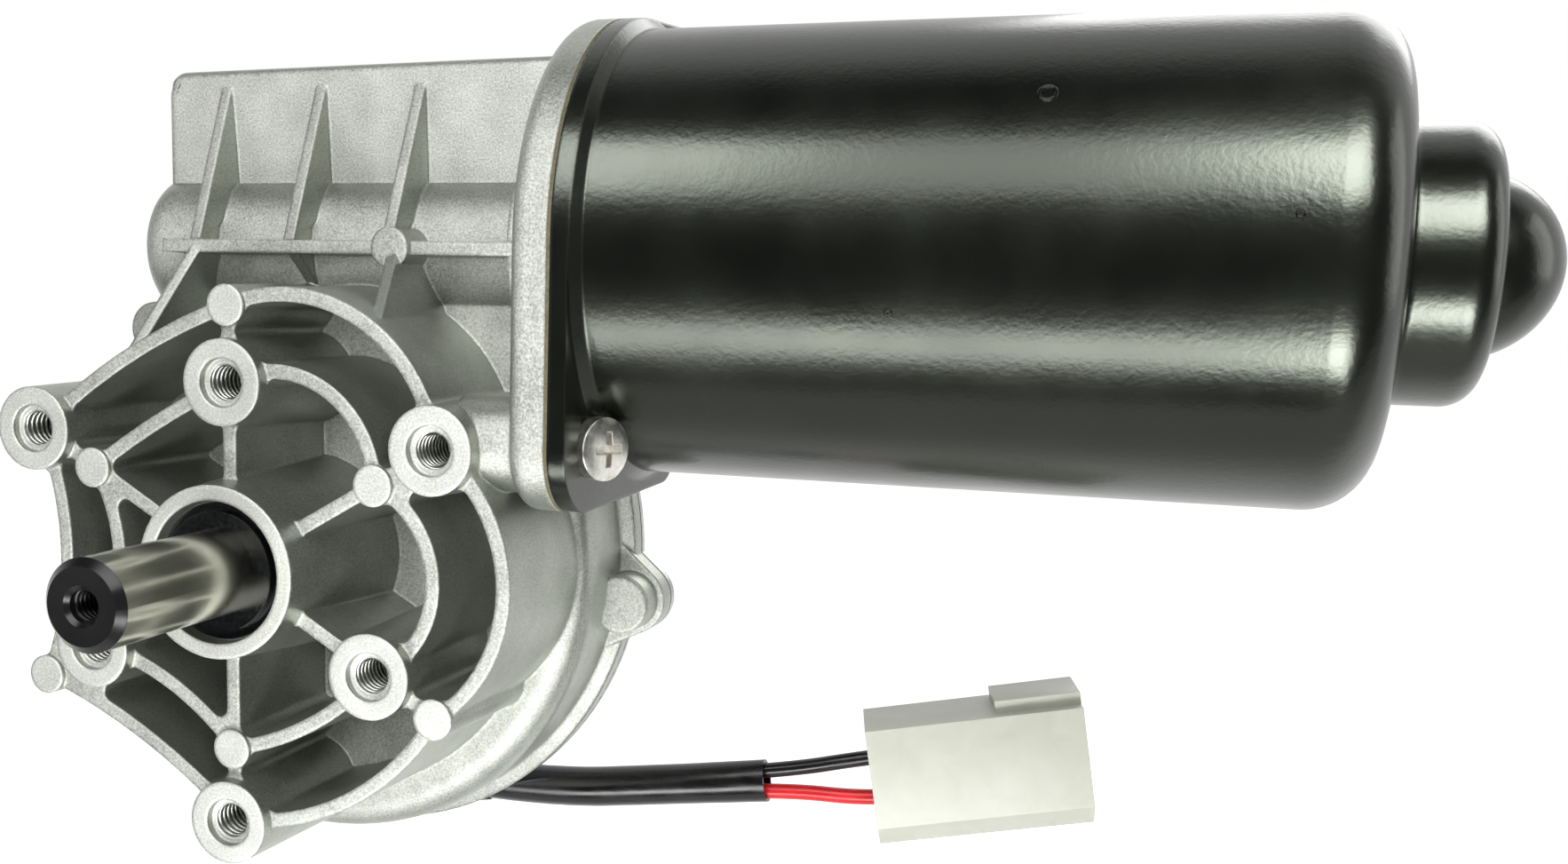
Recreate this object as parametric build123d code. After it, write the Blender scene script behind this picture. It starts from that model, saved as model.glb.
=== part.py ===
from build123d import *
import os
from math import cos, degrees, hypot, pi, radians, sin, sqrt, tan

# Worm-geared wiper motor. Millimetres; X runs along the motor, Y back from the mounting face, Z up.
# The origin is the centre of the mounting face, on the axis of the output shaft, which points along -Y.

# Worm gear pair
gear_module = 1.25
wheel_teeth = 63
worm_pitch_diameter = 11.25
dedendum_share = 1.2
flank_clearance = 0.1
flank_lean = 18.6
wheel_width = 10.0
wheel_web = 6.0
worm_start = -16.5
worm_turns = 9
motor_depth = 33.0
wheel_front_gap = 1.0
wheel_back_room = 3.5

# Output shaft and what turns with it
shaft_diameter = 12.0
shaft_projection = 30.0
shaft_chamfer = 1.0
shaft_rear_setback = 2.0
end_hole_diameter = 4.2
end_hole_mouth = 5.3
end_hole_depth = 12.0
wheel_hub_diameter = 22.0
wheel_hub_length = 11.0
washer_thickness = 0.8
clip_diameter = 17.0
clip_thickness = 1.0
clip_groove = 0.3
clip_gap_angle = 50.0

# Mounting bosses, pads and ribs on the front of the housing
boss_diameter = 12.0
boss_foot_diameter = 13.6
thread_hole_diameter = 5.0
thread_mouth_diameter = 6.8
thread_mouth_depth = 1.2
thread_depth = 15.0
inner_circle = 52.0
outer_circle = 73.0
pad_diameter = 5.7
pad_setback = 1.2
rib_setback = 1.9
rib_width = 2.0
rib_corner = 1.4
smallest_pocket = 10.0
draft = 1.5

# Hub around the output shaft
hub_projection = 2.4
hub_diameter = 24.3
hub_foot_diameter = 29.0
recess_diameter = 20.0
recess_floor = 0.3
seal_seat_diameter = 17.2
seal_seat_floor = 3.0
bush_diameter = 16.0
bush_length = 8.0
seal_section = 2.4

# Gear chamber
chamber_gap = 1.375
chamber_wall = 3.0
chamber_front_wall = 2.5
shoulder_round = 4.0
rim_width = 2.2
rim_thickness = 3.5

# Worm tube, stiffening plate and gussets
tube_diameter = 23.0
tube_left = -29.5
tube_round = 4.5
tube_end_wall = 1.9
bore_gap = 0.425
plate_left = -27.0
plate_top = 71.0
plate_forward = 6.0
plate_thickness = 4.5
plate_corner = 3.0
gusset_width = 1.7
gusset_pitch = 15.5
middle_gusset = 1.0
gusset_top = 67.6
left_web_radius = 36.0
left_web_angle = 126.0
left_web_rise = 15.5
middle_web_length = 7.5
right_web_radius = 40.0
right_web_angle = 57.0
tube_rib_reach = 17.0
tube_rib_width = 1.9
tube_rib_left = -20.5
tube_pad_rise = 1.2
tube_pad_at = 17.8

# Flange between the housing and the motor
flange_left = 42.0
flange_face = 47.5
flange_radius = 32.5
flange_round = 2.4
lug_radius = 8.6
screw_offset_y = 24.0
screw_offset_z = 26.0
foot_offset = 8.0
foot_radius = 6.0
lug_boss_diameter = 13.0
lug_boss_length = 9.0
gasket_thickness = 0.5

# Ball bearing of the motor shaft in the flange
bearing_left = 37.0
bearing_width = 8.0
bearing_diameter = 26.0
bearing_bore = 10.0
ball_diameter = 4.4
ball_count = 8
collar_wall = 3.5
collar_left = 35.0

# Motor can
can_radius = 31.0
can_wall = 1.6
can_flange_thickness = 2.4
can_foot_round = 1.4
can_end = 147.0
can_corner = 8.0
cap_radius = 17.25
cap_end = 158.0
cap_corner = 4.0
cap_foot_round = 1.5
dome_radius = 11.5
dome_tip = 166.5

# Motor screws
screw_diameter = 4.1
screw_hole_gap = 0.5
screw_head_diameter = 8.2
screw_head_height = 3.0
screw_length = 16.0
spring_washer_thickness = 1.1

# Rear cover and its screws
cover_sheet = 1.4
cover_gasket_thickness = 0.4
cover_dish_radius = 35.0
cover_dish_depth = 1.2
lug_angles = (-8.0, 137.0, 247.0)
cover_lug_radius = 5.4
cover_lug_root = 12.0
cover_boss_radius = 4.4
cover_boss_length = 8.0
cover_screw_diameter = 3.2
cover_screw_head = 7.2
cover_screw_head_height = 2.4
cover_screw_length = 9.0
counterface_gap = 0.6

# Armature
motor_shaft_diameter = 10.0
journal_diameter = 8.0
shaft_tail = 158.0
tail_shoulder = 136.0
core_left = 74.0
core_right = 122.0
core_diameter = 43.6
slot_count = 12
slot_width = 5.0
slot_mouth = 2.0
slot_inner_radius = 12.0
slot_outer_radius = 19.6
winding_overhang = 7.5
commutator_left = 49.5
commutator_right = 64.0
commutator_diameter = 22.0
riser_diameter = 25.0
riser_width = 2.0
segment_gap = 0.6
segment_groove = 4.5

# Field
magnet_inner_radius = 22.6
magnet_left = 70.0
magnet_right = 126.0
magnet_gap = 19.0
magnet_spring_thickness = 0.7

# Brush gear
brush_plate_left = 45.0
brush_plate_right = 49.0
brush_plate_gap = 0.6
brush_plate_hole = 12.0
brush_post_width = 6.0
brush_post_height = 9.0
brush_post_length = 8.0
brush_post_inset = 8.8
brush_width = 10.0
brush_thickness = 6.0
brush_length = 8.0
brush_wear_gap = 0.1
brush_clearance = 0.2
brush_tube_wall = 0.5
brush_tube_start = 12.8
brush_tube_gap = 1.8
brush_spring_turns = 4.5
brush_spring_wire = 0.6
brush_spring_radius = 2.1

# Tail bearing in the cap
tail_bush_radius = 10.6
tail_bush_width = 9.0
bush_clip_thickness = 0.6
tail_button_diameter = 9.0

# Cable outlet, lead and connector
outlet_radius = 4.6
outlet_wall = 1.2
outlet_left = -6.0
outlet_right = 13.0
outlet_stand = 3.7
outlet_inset = 6.4
outlet_slot_width = 6.0
outlet_slot_height = 3.0
grommet_flange = 3.0
grommet_plug = 6.0
grommet_nose = 4.0
sleeve_diameter = 6.4
wire_diameter = 2.4
connector_length = 32.0
connector_height = 18.6
connector_thickness = 14.0
connector_chamfer = 3.4
connector_step = 1.9
connector_step_length = 12.5
connector_socket_depth = 17.0
connector_wall = 1.6
connector_yaw = 12.0
connector_pitch = 10.0
connector_place = (83.2, 1.6, 7.4)
lead_bends = ((32.0, 0.0, 0.0), (48.5, 0.3, 2.4), (66.8, 1.0, 5.2))
wire_spacing = 6.8
wire_lift = 1.5
wire_hidden = 9.5
wire_straight = 2.5
wire_reach = 8.0
wire_room = 0.15
tab_width = 6.3
tab_thickness = 0.8
tab_length = 17.5

# Fits
running_gap = 0.03
press_gap = 0.01
axial_gap = 0.1

# Worked out from the driving dimensions
wheel_pitch_radius = gear_module * wheel_teeth / 2
centre_distance = wheel_pitch_radius + worm_pitch_diameter / 2
dedendum = dedendum_share * gear_module
wheel_tip_radius = wheel_pitch_radius + gear_module
worm_tip_radius = worm_pitch_diameter / 2 + gear_module
worm_root_radius = worm_pitch_diameter / 2 - dedendum
axial_pitch = pi * gear_module
chamber_radius = wheel_tip_radius + chamber_gap
chamber_outer = chamber_radius + chamber_wall
rim_radius = chamber_outer + rim_width
chamber_front = motor_depth - wheel_width / 2 - wheel_front_gap
floor_depth = chamber_front - chamber_front_wall
rear_face = motor_depth + wheel_width / 2 + wheel_back_room
shaft_rear = rear_face - shaft_rear_setback
plate_front = motor_depth - plate_forward
tube_rib_front = motor_depth - tube_rib_reach
tube_pad_front = tube_rib_front - tube_pad_rise
left_web_front = floor_depth - left_web_rise
tube_radius = tube_diameter / 2
tube_bore = worm_tip_radius + bore_gap
tube_inner_end = tube_left + tube_end_wall
motor_axis = Pos(0, motor_depth, centre_distance)
shaft_radius = shaft_diameter / 2
motor_shaft_radius = motor_shaft_diameter / 2
journal_radius = journal_diameter / 2
can_face = flange_face + gasket_thickness
can_flange_right = can_face + can_flange_thickness
can_inner = can_radius - can_wall
brush_plate_radius = can_inner - brush_plate_gap
brush_tube_end = can_inner - brush_tube_gap
cover_front = rear_face + cover_gasket_thickness
cover_back = cover_front + cover_sheet
outlet_depth = cover_back + outlet_stand
outlet_height = outlet_inset - rim_radius
screw_spots = ((-screw_offset_y, -screw_offset_z), (screw_offset_y, screw_offset_z))
cover_screw_hole = cover_screw_diameter / 2 + press_gap
brush_middle = brush_plate_right + brush_width / 2 + brush_tube_wall + brush_clearance

# The spokes of the front pattern: bosses and pads take turns on the two circles
spoke_angles = (90, 30, -30, -90, 210, 150)
inner_boss_angles = (90, -30, 210)
outer_boss_angles = (30, -90, 150)


def spot(radius, angle):
    """A point of the front pattern, as X and Z."""
    return (radius * cos(radians(angle)), radius * sin(radians(angle)))


boss_spots = [spot(inner_circle / 2, angle) for angle in inner_boss_angles]
boss_spots += [spot(outer_circle / 2, angle) for angle in outer_boss_angles]
pad_spots = [spot(outer_circle / 2, angle) for angle in inner_boss_angles]
pad_spots += [spot(inner_circle / 2, angle) for angle in outer_boss_angles]

# Middle points of the curved ribs, as radius and angle: neighbours on each circle are joined through them
inner_bends = ((29.6, 57), (31.2, 0), (24.6, -62), (20.4, -118), (18.8, 178), (23.3, 126))
outer_bends = ((40.4, 56), (41.5, 1), (36.4, -58), (29.8, -121), (27.9, 180), (33.4, 116))


def along_y(sketch, front, back):
    """A sketch in X and Z, made solid from one depth to another."""
    return extrude(Plane.XZ.offset(-front) * sketch, amount=front - back)


def along_x(sketch, left, right):
    """A sketch in Y and Z, made solid from left to right."""
    return extrude(Plane.YZ.offset(left) * sketch, amount=right - left)


def on_motor_axis(sketch, left, right):
    """A sketch centred on the motor's axis, made solid from left to right."""
    return motor_axis * along_x(sketch, left, right)


def ring(outer, inner):
    return Circle(outer) - Circle(inner)


def profile(corners):
    """A closed outline of (x, y, corner radius), as a face."""
    face = make_face(Polyline([(x, y) for x, y, _ in corners], close=True))
    for x, y, radius in corners:
        if radius > 0:
            face = fillet(face.vertices().sort_by_distance((x, y))[0], radius)
    return face


def turned_on_output(corners):
    """A profile of (radius, y, corner radius), turned about the output axis."""
    return revolve(profile(corners), Axis.Y)


def turned_on_motor(corners):
    """A profile of (x, radius, corner radius), turned about the motor's axis."""
    return motor_axis * revolve(profile(corners), Axis.X)


def tapered_pin(place, front, back, front_radius, back_radius):
    """A round boss along Y that widens towards its foot, as a casting does."""
    x, z = place
    cone = turned_on_output([(0, front, 0), (front_radius, front, 0), (back_radius, back, 0), (0, back, 0)])
    return Pos(x, 0, z) * cone


def pin_along_y(place, front, back, radius):
    x, z = place
    return along_y(Pos(x, z) * Circle(radius), front, back)


def web(start, end, outline, width):
    """A flat rib from start to end, both (x, z); its outline is in distance along it and depth."""
    run_x = end[0] - start[0]
    run_z = end[1] - start[1]
    length = hypot(run_x, run_z)
    across = (-run_z / length, 0, run_x / length)
    plane = Plane(origin=(start[0], 0, start[1]), x_dir=(run_x, 0, run_z), z_dir=across)
    return extrude(plane * make_face(Polyline(outline, close=True)), amount=width / 2, both=True)


def rib_pattern():
    """The ribs of the front face: six spokes and two rings of curved ribs, joined at bosses and pads."""
    lines = [Line(spot(hub_diameter / 2 - 1, angle), spot(outer_circle / 2, angle)) for angle in spoke_angles]
    for radius, bends in ((inner_circle / 2, inner_bends), (outer_circle / 2, outer_bends)):
        for index, (bend_radius, bend_angle) in enumerate(bends):
            start = spot(radius, spoke_angles[index])
            end = spot(radius, spoke_angles[(index + 1) % len(spoke_angles)])
            lines.append(ThreePointArc(start, spot(bend_radius, bend_angle), end))
    ribs = Sketch() + [trace(line, line_width=rib_width) for line in lines]
    ribs += [Pos(*place) * Circle(boss_diameter / 2) for place in boss_spots]
    ribs += [Pos(*place) * Circle(pad_diameter / 2) for place in pad_spots]
    ribs += Circle(hub_diameter / 2)
    return ribs.face()


def front_spider():
    """Hub, ribs, bosses and pads, from the mounting face back to the chamber's front wall."""
    pattern = rib_pattern()
    outline = offset(offset(Face(pattern.outer_wire()), rib_corner), -rib_corner)
    depth = floor_depth - rib_setback
    sunk = floor_depth + 1
    front = Plane.XZ.offset(-rib_setback)
    spider = extrude(front * outline, amount=-depth - 1, taper=-draft)
    for edge in pattern.inner_wires():
        pocket = Face(edge)
        if pocket.area > smallest_pocket:
            rounded = offset(offset(pocket, -rib_corner), rib_corner).face()
            # Every pocket face has to look forward, so that its cut runs back into the metal
            if rounded.normal_at().Z < 0:
                rounded = -rounded
            spider -= extrude(front * rounded, amount=-depth, taper=draft)
    for place in boss_spots:
        spider += tapered_pin(place, 0, sunk, boss_diameter / 2, boss_foot_diameter / 2)
    for x, z in pad_spots:
        spider += along_y(Pos(x, z) * Circle(pad_diameter / 2), pad_setback, sunk)
    spider += tapered_pin((0, 0), -hub_projection, sunk, hub_diameter / 2, hub_foot_diameter / 2)
    return spider


def gear_chamber_shell():
    """The chamber's outer form, still solid inside."""
    rim_front = rear_face - rim_thickness
    return turned_on_output([
        (0, floor_depth, 0), (chamber_outer, floor_depth, shoulder_round), (chamber_outer, rim_front, 0),
        (rim_radius, rim_front + 1, 0.4), (rim_radius, rear_face, 0), (0, rear_face, 0)])


def worm_tube():
    """The tube over the worm, with its blind, rounded left end and its horizontal rib."""
    right = flange_left + 1
    tube = turned_on_motor([
        (tube_left, 0, 0), (tube_left, tube_radius, tube_round), (right, tube_radius, 0), (right, 0, 0)])
    collar_radius = bearing_diameter / 2 + collar_wall
    tube += on_motor_axis(Circle(collar_radius), collar_left, right)
    depth = motor_depth - tube_rib_front
    rib = Pos(tube_rib_front + depth / 2, centre_distance) * Rectangle(depth, tube_rib_width)
    tube += along_x(rib, tube_rib_left, right)
    tube += along_y(Pos(tube_pad_at, centre_distance) * Circle(pad_diameter / 2), tube_pad_front, motor_depth)
    return tube


def stiffening_plate():
    """The tall plate above the worm tube, and the flat wall between tube, chamber and flange."""
    right = flange_left + 1
    width = right - plate_left
    height = plate_top - centre_distance
    outline = Pos(plate_left + width / 2, centre_distance + height / 2) * Rectangle(width, height)
    corner = outline.vertices().sort_by_distance((plate_left, plate_top))[0]
    outline = fillet(corner, plate_corner)
    plate = along_y(outline, plate_front, plate_front + plate_thickness)
    top = plate.edges().filter_by(Axis.X).group_by(Axis.Z)[-1]
    plate = fillet(top, plate_thickness / 3)
    half_up = centre_distance / 2
    left = plate_left + 2
    lower = make_face(Polyline([
        (left, centre_distance), (right, centre_distance), (right, half_up), (0, half_up),
        (left, centre_distance * 0.7)], close=True))
    return plate + along_y(lower, floor_depth, chamber_front)


def gussets():
    """Three tall webs that tie plate, tube rib and front pattern together."""
    foot = centre_distance
    tip = gusset_top - foot
    outlines = []
    for step in (-1, 0, 1):
        x = middle_gusset + step * gusset_pitch
        upper = [(0, tube_rib_front), (tip, plate_front), (tip, plate_front + 2), (0, motor_depth)]
        outlines.append(web((x, foot), (x, gusset_top), upper, gusset_width))
    # Below the tube's rib the webs run on down to the front pattern
    left = middle_gusset - gusset_pitch
    left_end = spot(left_web_radius, left_web_angle)
    length = hypot(left_end[0] - left, left_end[1] - foot)
    lower = [(0, tube_rib_front), (length, left_web_front), (length, floor_depth + 1), (0, motor_depth)]
    outlines.append(web((left, foot), left_end, lower, gusset_width))
    lower = [(0, tube_rib_front), (middle_web_length, floor_depth + 1), (0, motor_depth)]
    outlines.append(web((middle_gusset, foot), (middle_gusset, 0), lower, gusset_width))
    right_end = spot(right_web_radius, right_web_angle)
    length = hypot(right_end[0] - tube_pad_at, right_end[1] - foot)
    lower = [(0, tube_rib_front), (length, rib_setback + 1), (length, floor_depth + 1), (0, motor_depth)]
    outlines.append(web((tube_pad_at, foot), right_end, lower, gusset_width))
    return outlines


def flange_outline(grow=0.0):
    """The motor flange, in Y and Z: a round plate with two screw lugs and a flat foot."""
    corners = [Pos(y, z) * Circle(lug_radius + grow) for y, z in screw_spots]
    corners.append(Pos(foot_offset, -(flange_radius - foot_radius + 1.2)) * Circle(foot_radius + grow))
    edges = Sketch() + Circle(flange_radius + grow) + corners
    return make_hull(edges.edges())


def motor_flange():
    flange = on_motor_axis(flange_outline(), flange_left, flange_face)
    rim = flange.faces().sort_by(Axis.X)[0].outer_wire().edges()
    flange = fillet(rim, flange_round)
    for y, z in screw_spots:
        boss = Pos(y, z) * Circle(lug_boss_diameter / 2)
        flange += on_motor_axis(boss, flange_left - lug_boss_length, flange_left + 1)
    return flange


def cover_lugs(front, back, radius):
    """An ear round each cover screw, running into the rim on both sides."""
    lugs = []
    for angle in lug_angles:
        tip = Pos(*spot(rim_radius, angle)) * Circle(radius)
        root = Pos(*spot(rim_radius - cover_lug_root, angle)) * Circle(cover_lug_root)
        ear = make_hull((Sketch() + [tip, root]).edges()) - Circle(chamber_radius)
        lugs.append(along_y(ear, front, back))
    return lugs


def gearbox_housing():
    housing = gear_chamber_shell() + front_spider()
    housing += worm_tube()
    housing += stiffening_plate()
    housing += motor_flange()
    housing += gussets()
    housing += cover_lugs(rear_face - rim_thickness, rear_face, cover_lug_radius)
    for angle in lug_angles:
        boss_front = rear_face - cover_boss_length
        housing += pin_along_y(spot(rim_radius, angle), boss_front, rear_face, cover_boss_radius)
    # Gear chamber, worm bore and bearing seat
    housing -= along_y(Circle(chamber_radius), chamber_front, rear_face + 1)
    housing -= on_motor_axis(Circle(tube_bore), tube_inner_end, bearing_left + 1)
    housing -= on_motor_axis(Circle(bearing_diameter / 2 + press_gap), bearing_left, flange_face + 1)
    housing -= on_motor_axis(Circle(brush_plate_radius + brush_clearance), brush_plate_left, flange_face + 1)
    # Milled counterface for the cover where the tube's back stands in its way
    housing -= along_y(Circle(rim_radius + counterface_gap), rear_face, rear_face + 6)
    housing -= cover_lugs(rear_face, rear_face + 6, cover_lug_radius + counterface_gap)
    # Hub: recess for washer and clip, seal seat, bush bore
    housing -= along_y(Circle(recess_diameter / 2), -hub_projection - 1, recess_floor)
    housing -= along_y(Circle(seal_seat_diameter / 2), -1, seal_seat_floor)
    housing -= along_y(Circle(bush_diameter / 2), 0, chamber_front + 1)
    # Threaded holes
    for place in boss_spots:
        housing -= pin_along_y(place, -1, thread_depth, thread_hole_diameter / 2)
        housing -= pin_along_y(place, -1, thread_mouth_depth, thread_mouth_diameter / 2)
    for angle in lug_angles:
        place = spot(rim_radius, angle)
        housing -= pin_along_y(place, rear_face - cover_screw_length, rear_face + 1, cover_screw_hole)
    for y, z in screw_spots:
        hole = Pos(y, z) * Circle(screw_diameter / 2 + press_gap)
        housing -= on_motor_axis(hole, flange_face - screw_length, flange_face + 1)
    return housing


def rear_cover():
    """Pressed steel cover: flat rim, dished middle, thrust dimple on the output axis, cable outlet."""
    dish_front = cover_front + cover_dish_depth
    dish_back = cover_back + cover_dish_depth
    dimple_front = shaft_rear + 3 * axial_gap
    cover = turned_on_output([
        (0, dimple_front, 0), (3, dimple_front, 0), (6, dish_front, 1), (cover_dish_radius, dish_front, 1),
        (cover_dish_radius + 2, cover_front, 1), (rim_radius, cover_front, 0), (rim_radius, cover_back, 0.4),
        (cover_dish_radius + 2, cover_back, 0.5), (cover_dish_radius, dish_back, 0.5), (7, dish_back, 0.5),
        (4, dimple_front + cover_sheet, 0), (0, dimple_front + cover_sheet, 0)])
    cover += cover_lugs(cover_front, cover_back, cover_lug_radius)
    for angle in lug_angles:
        hole = spot(rim_radius, angle)
        cover -= pin_along_y(hole, cover_front - 1, cover_back + 1, cover_screw_hole + screw_hole_gap)
    outlet = along_x(Pos(outlet_depth, outlet_height) * Circle(outlet_radius), outlet_left, outlet_right)
    cover += outlet - along_y(Rectangle(4 * rim_radius, 4 * rim_radius), 0, cover_front)
    bore = Pos(outlet_depth, outlet_height) * Circle(outlet_radius - outlet_wall)
    cover -= along_x(bore, outlet_left + outlet_wall, outlet_right + 1)
    # The wires come from the chamber through a slot in the sheet, under the outlet
    slot_middle = -(chamber_radius + cover_dish_radius + 2) / 2
    slot_left = outlet_left + outlet_wall
    slot = Rectangle(outlet_slot_width, outlet_slot_height)
    slot = Pos(slot_left + outlet_slot_width / 2, slot_middle) * slot
    return cover - along_y(slot, cover_front - 1, outlet_depth)


def cover_gasket():
    gasket = along_y(ring(rim_radius, chamber_radius), rear_face, cover_front)
    gasket += cover_lugs(rear_face, cover_front, cover_lug_radius)
    for angle in lug_angles:
        gasket -= pin_along_y(spot(rim_radius, angle), 0, cover_back, cover_screw_hole + screw_hole_gap)
    return gasket


def pan_screw(shank_radius, shank_length, head_radius, head_height):
    """A pan-head screw on the Z axis, its head standing on Z = 0 and its shank below."""
    outline = profile([
        (0, 0, 0), (head_radius, 0, 0), (head_radius, head_height, head_height * 0.45), (0, head_height, 0)])
    head = revolve(Plane.XZ * outline, Axis.Z)
    return head + Cylinder(shank_radius, shank_length, align=(Align.CENTER, Align.CENTER, Align.MAX))


def cover_screws():
    shank = cover_screw_diameter / 2
    screw = pan_screw(shank, cover_screw_length, cover_screw_head / 2, cover_screw_head_height)
    screws = []
    for angle in lug_angles:
        x, z = spot(rim_radius, angle)
        screws.append(Pos(x, cover_back, z) * Rot(-90, 0, 0) * screw)
    return screws


def bush(front, outer, inner, length):
    return along_y(ring(outer, inner), front, front + length)


def shaft_bush(front):
    """A sintered bush of the output shaft, pressed into the housing's bore."""
    return bush(front, bush_diameter / 2 - press_gap, shaft_radius + running_gap, bush_length)


def front_bush():
    return shaft_bush(seal_seat_floor + axial_gap)


def rear_bush():
    return shaft_bush(chamber_front - bush_length)


def shaft_seal():
    """Rubber ring that fills its seat around the shaft."""
    middle = (seal_seat_diameter / 2 + shaft_radius) / 2
    section = Pos(middle, seal_seat_floor - seal_section / 2) * Circle(seal_section / 2)
    return revolve(section, Axis.Y)


def output_shaft():
    clip_front = clip_place()
    shaft = turned_on_output([
        (0, -shaft_projection, 0), (shaft_radius - shaft_chamfer, -shaft_projection, 0),
        (shaft_radius, -shaft_projection + shaft_chamfer, 0), (shaft_radius, shaft_rear, 0),
        (0, shaft_rear, 0)])
    groove = ring(shaft_radius + 1, shaft_radius - clip_groove)
    shaft -= along_y(groove, clip_front, clip_front + clip_thickness)
    shaft -= pin_along_y((0, 0), -shaft_projection, end_hole_depth - shaft_projection, end_hole_diameter / 2)
    mouth = (end_hole_mouth - end_hole_diameter) / 2
    shaft -= Pos(0, -shaft_projection, 0) * turned_on_output([
        (0, -1, 0), (end_hole_mouth / 2, -1, 0), (end_hole_mouth / 2, 0, 0),
        (end_hole_diameter / 2, mouth, 0), (0, mouth, 0)])
    return shaft


def clip_place():
    """Front of the retaining ring: it lies on the washer, which lies on the recess floor."""
    return recess_floor - axial_gap - washer_thickness - axial_gap / 2 - clip_thickness


def retaining_ring():
    clip_front = clip_place()
    inner = shaft_radius - clip_groove + press_gap
    wedge = clip_diameter * tan(radians(clip_gap_angle / 2))
    gap = make_face(Polyline([(0, 0), (wedge, -clip_diameter), (-wedge, -clip_diameter)], close=True))
    open_ring = Circle(clip_diameter / 2) - Circle(inner) - gap
    front = clip_front + press_gap
    return along_y(open_ring, front, clip_front + clip_thickness - press_gap)


def front_washer():
    back = recess_floor - axial_gap
    washer = ring(recess_diameter / 2 - 4 * axial_gap, shaft_radius + running_gap)
    return along_y(washer, back - washer_thickness, back)


def wheel_front():
    return motor_depth - wheel_width / 2


def rear_washer():
    front = chamber_front + axial_gap
    back = wheel_front() - axial_gap
    return along_y(ring(wheel_hub_diameter / 2 - 1, shaft_radius + running_gap), front, back)


def wheel_hub():
    """Steel hub with a six-sided outside, pressed on the shaft, that the wheel is moulded round."""
    hexagon = RegularPolygon(wheel_hub_diameter / 2, 6)
    front = wheel_front()
    return along_y(hexagon - Circle(shaft_radius + press_gap), front, front + wheel_hub_length)


def wheel_outline(turn):
    """The toothed outline, in X and Z, with a tooth gap at the top when turn is 0."""
    tooth = 360 / wheel_teeth
    half = axial_pitch / 4 - flank_clearance / 2
    lean = tan(radians(flank_lean))
    tip = half - gear_module * lean
    root = half + dedendum * lean
    root_radius = wheel_pitch_radius - dedendum
    points = []
    corners = ((-root, root_radius), (-tip, wheel_tip_radius), (tip, wheel_tip_radius), (root, root_radius))
    for index in range(wheel_teeth):
        middle = radians(90 + tooth / 2 - index * tooth - turn)
        for across, radius in corners:
            x = radius * cos(middle) + across * sin(middle)
            z = radius * sin(middle) - across * cos(middle)
            points.append((x, z))
    return make_face(Polyline(points, close=True))


def worm_wheel():
    """Moulded gear: toothed rim, thinner web, boss round the hub. The teeth lean with the worm's lead."""
    lead_slope = axial_pitch / (pi * worm_pitch_diameter)
    turn = degrees(lead_slope * wheel_width / 2 / wheel_pitch_radius)
    front = wheel_front()
    back = front + wheel_width
    ends = [Plane.XZ.offset(-front) * wheel_outline(-turn), Plane.XZ.offset(-back) * wheel_outline(turn)]
    wheel = loft(ends, ruled=True)
    rim_inner = wheel_pitch_radius - dedendum - 3
    boss_outer = wheel_hub_diameter / 2 + 3
    recess = (wheel_width - wheel_web) / 2
    wheel -= along_y(ring(rim_inner, boss_outer), front - 1, front + recess)
    wheel -= along_y(ring(rim_inner, boss_outer), back - recess, back + 1)
    wheel -= along_y(RegularPolygon(wheel_hub_diameter / 2 + press_gap, 6), front - 1, back + 1)
    return wheel


def worm_thread():
    """The single right-handed thread, starting on the X axis of the worm."""
    half = axial_pitch / 4 - flank_clearance / 2
    lean = tan(radians(20))
    root = half + dedendum * lean
    tip = half - gear_module * lean
    pitch_radius = worm_pitch_diameter / 2
    sunk = 0.3
    path = Helix(axial_pitch, axial_pitch * worm_turns, pitch_radius)
    section = Plane.XZ * make_face(Polyline([
        (worm_root_radius - sunk, -root - sunk * lean), (worm_tip_radius, -tip), (worm_tip_radius, tip),
        (worm_root_radius - sunk, root + sunk * lean)], close=True))
    return sweep(section, path=path, is_frenet=True)


def armature_shaft():
    """One steel shaft with the worm rolled on it."""
    left = tube_inner_end + 1.0
    worm_end = worm_start + axial_pitch * worm_turns
    shaft = turned_on_motor([
        (left, 0, 0), (left, journal_radius, 0), (worm_start - 3, journal_radius, 0),
        (worm_start - 3, worm_root_radius, 0), (worm_end + 3, worm_root_radius, 0),
        (worm_end + 4, motor_shaft_radius, 0), (tail_shoulder, motor_shaft_radius, 0),
        (tail_shoulder, journal_radius, 0), (shaft_tail, journal_radius, 0.5), (shaft_tail, 0, 0)])
    # The thread passes below the axis at X = 0, where the wheel has a tooth gap
    start = axial_pitch * round(worm_start / axial_pitch)
    return shaft + motor_axis * Pos(start, 0, 0) * Rot(0, 90, 0) * worm_thread()


def armature_core():
    core = Circle(core_diameter / 2) - Circle(motor_shaft_radius + press_gap)
    slot_middle = (slot_inner_radius + slot_outer_radius) / 2
    slot_height = slot_outer_radius - slot_inner_radius
    core -= PolarLocations(slot_middle, slot_count) * Rectangle(slot_height, slot_width)
    mouth_depth = core_diameter / 2 - slot_outer_radius + 4
    core -= PolarLocations(core_diameter / 2, slot_count) * Rectangle(mouth_depth, slot_mouth)
    return on_motor_axis(core, core_left, core_right)


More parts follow.
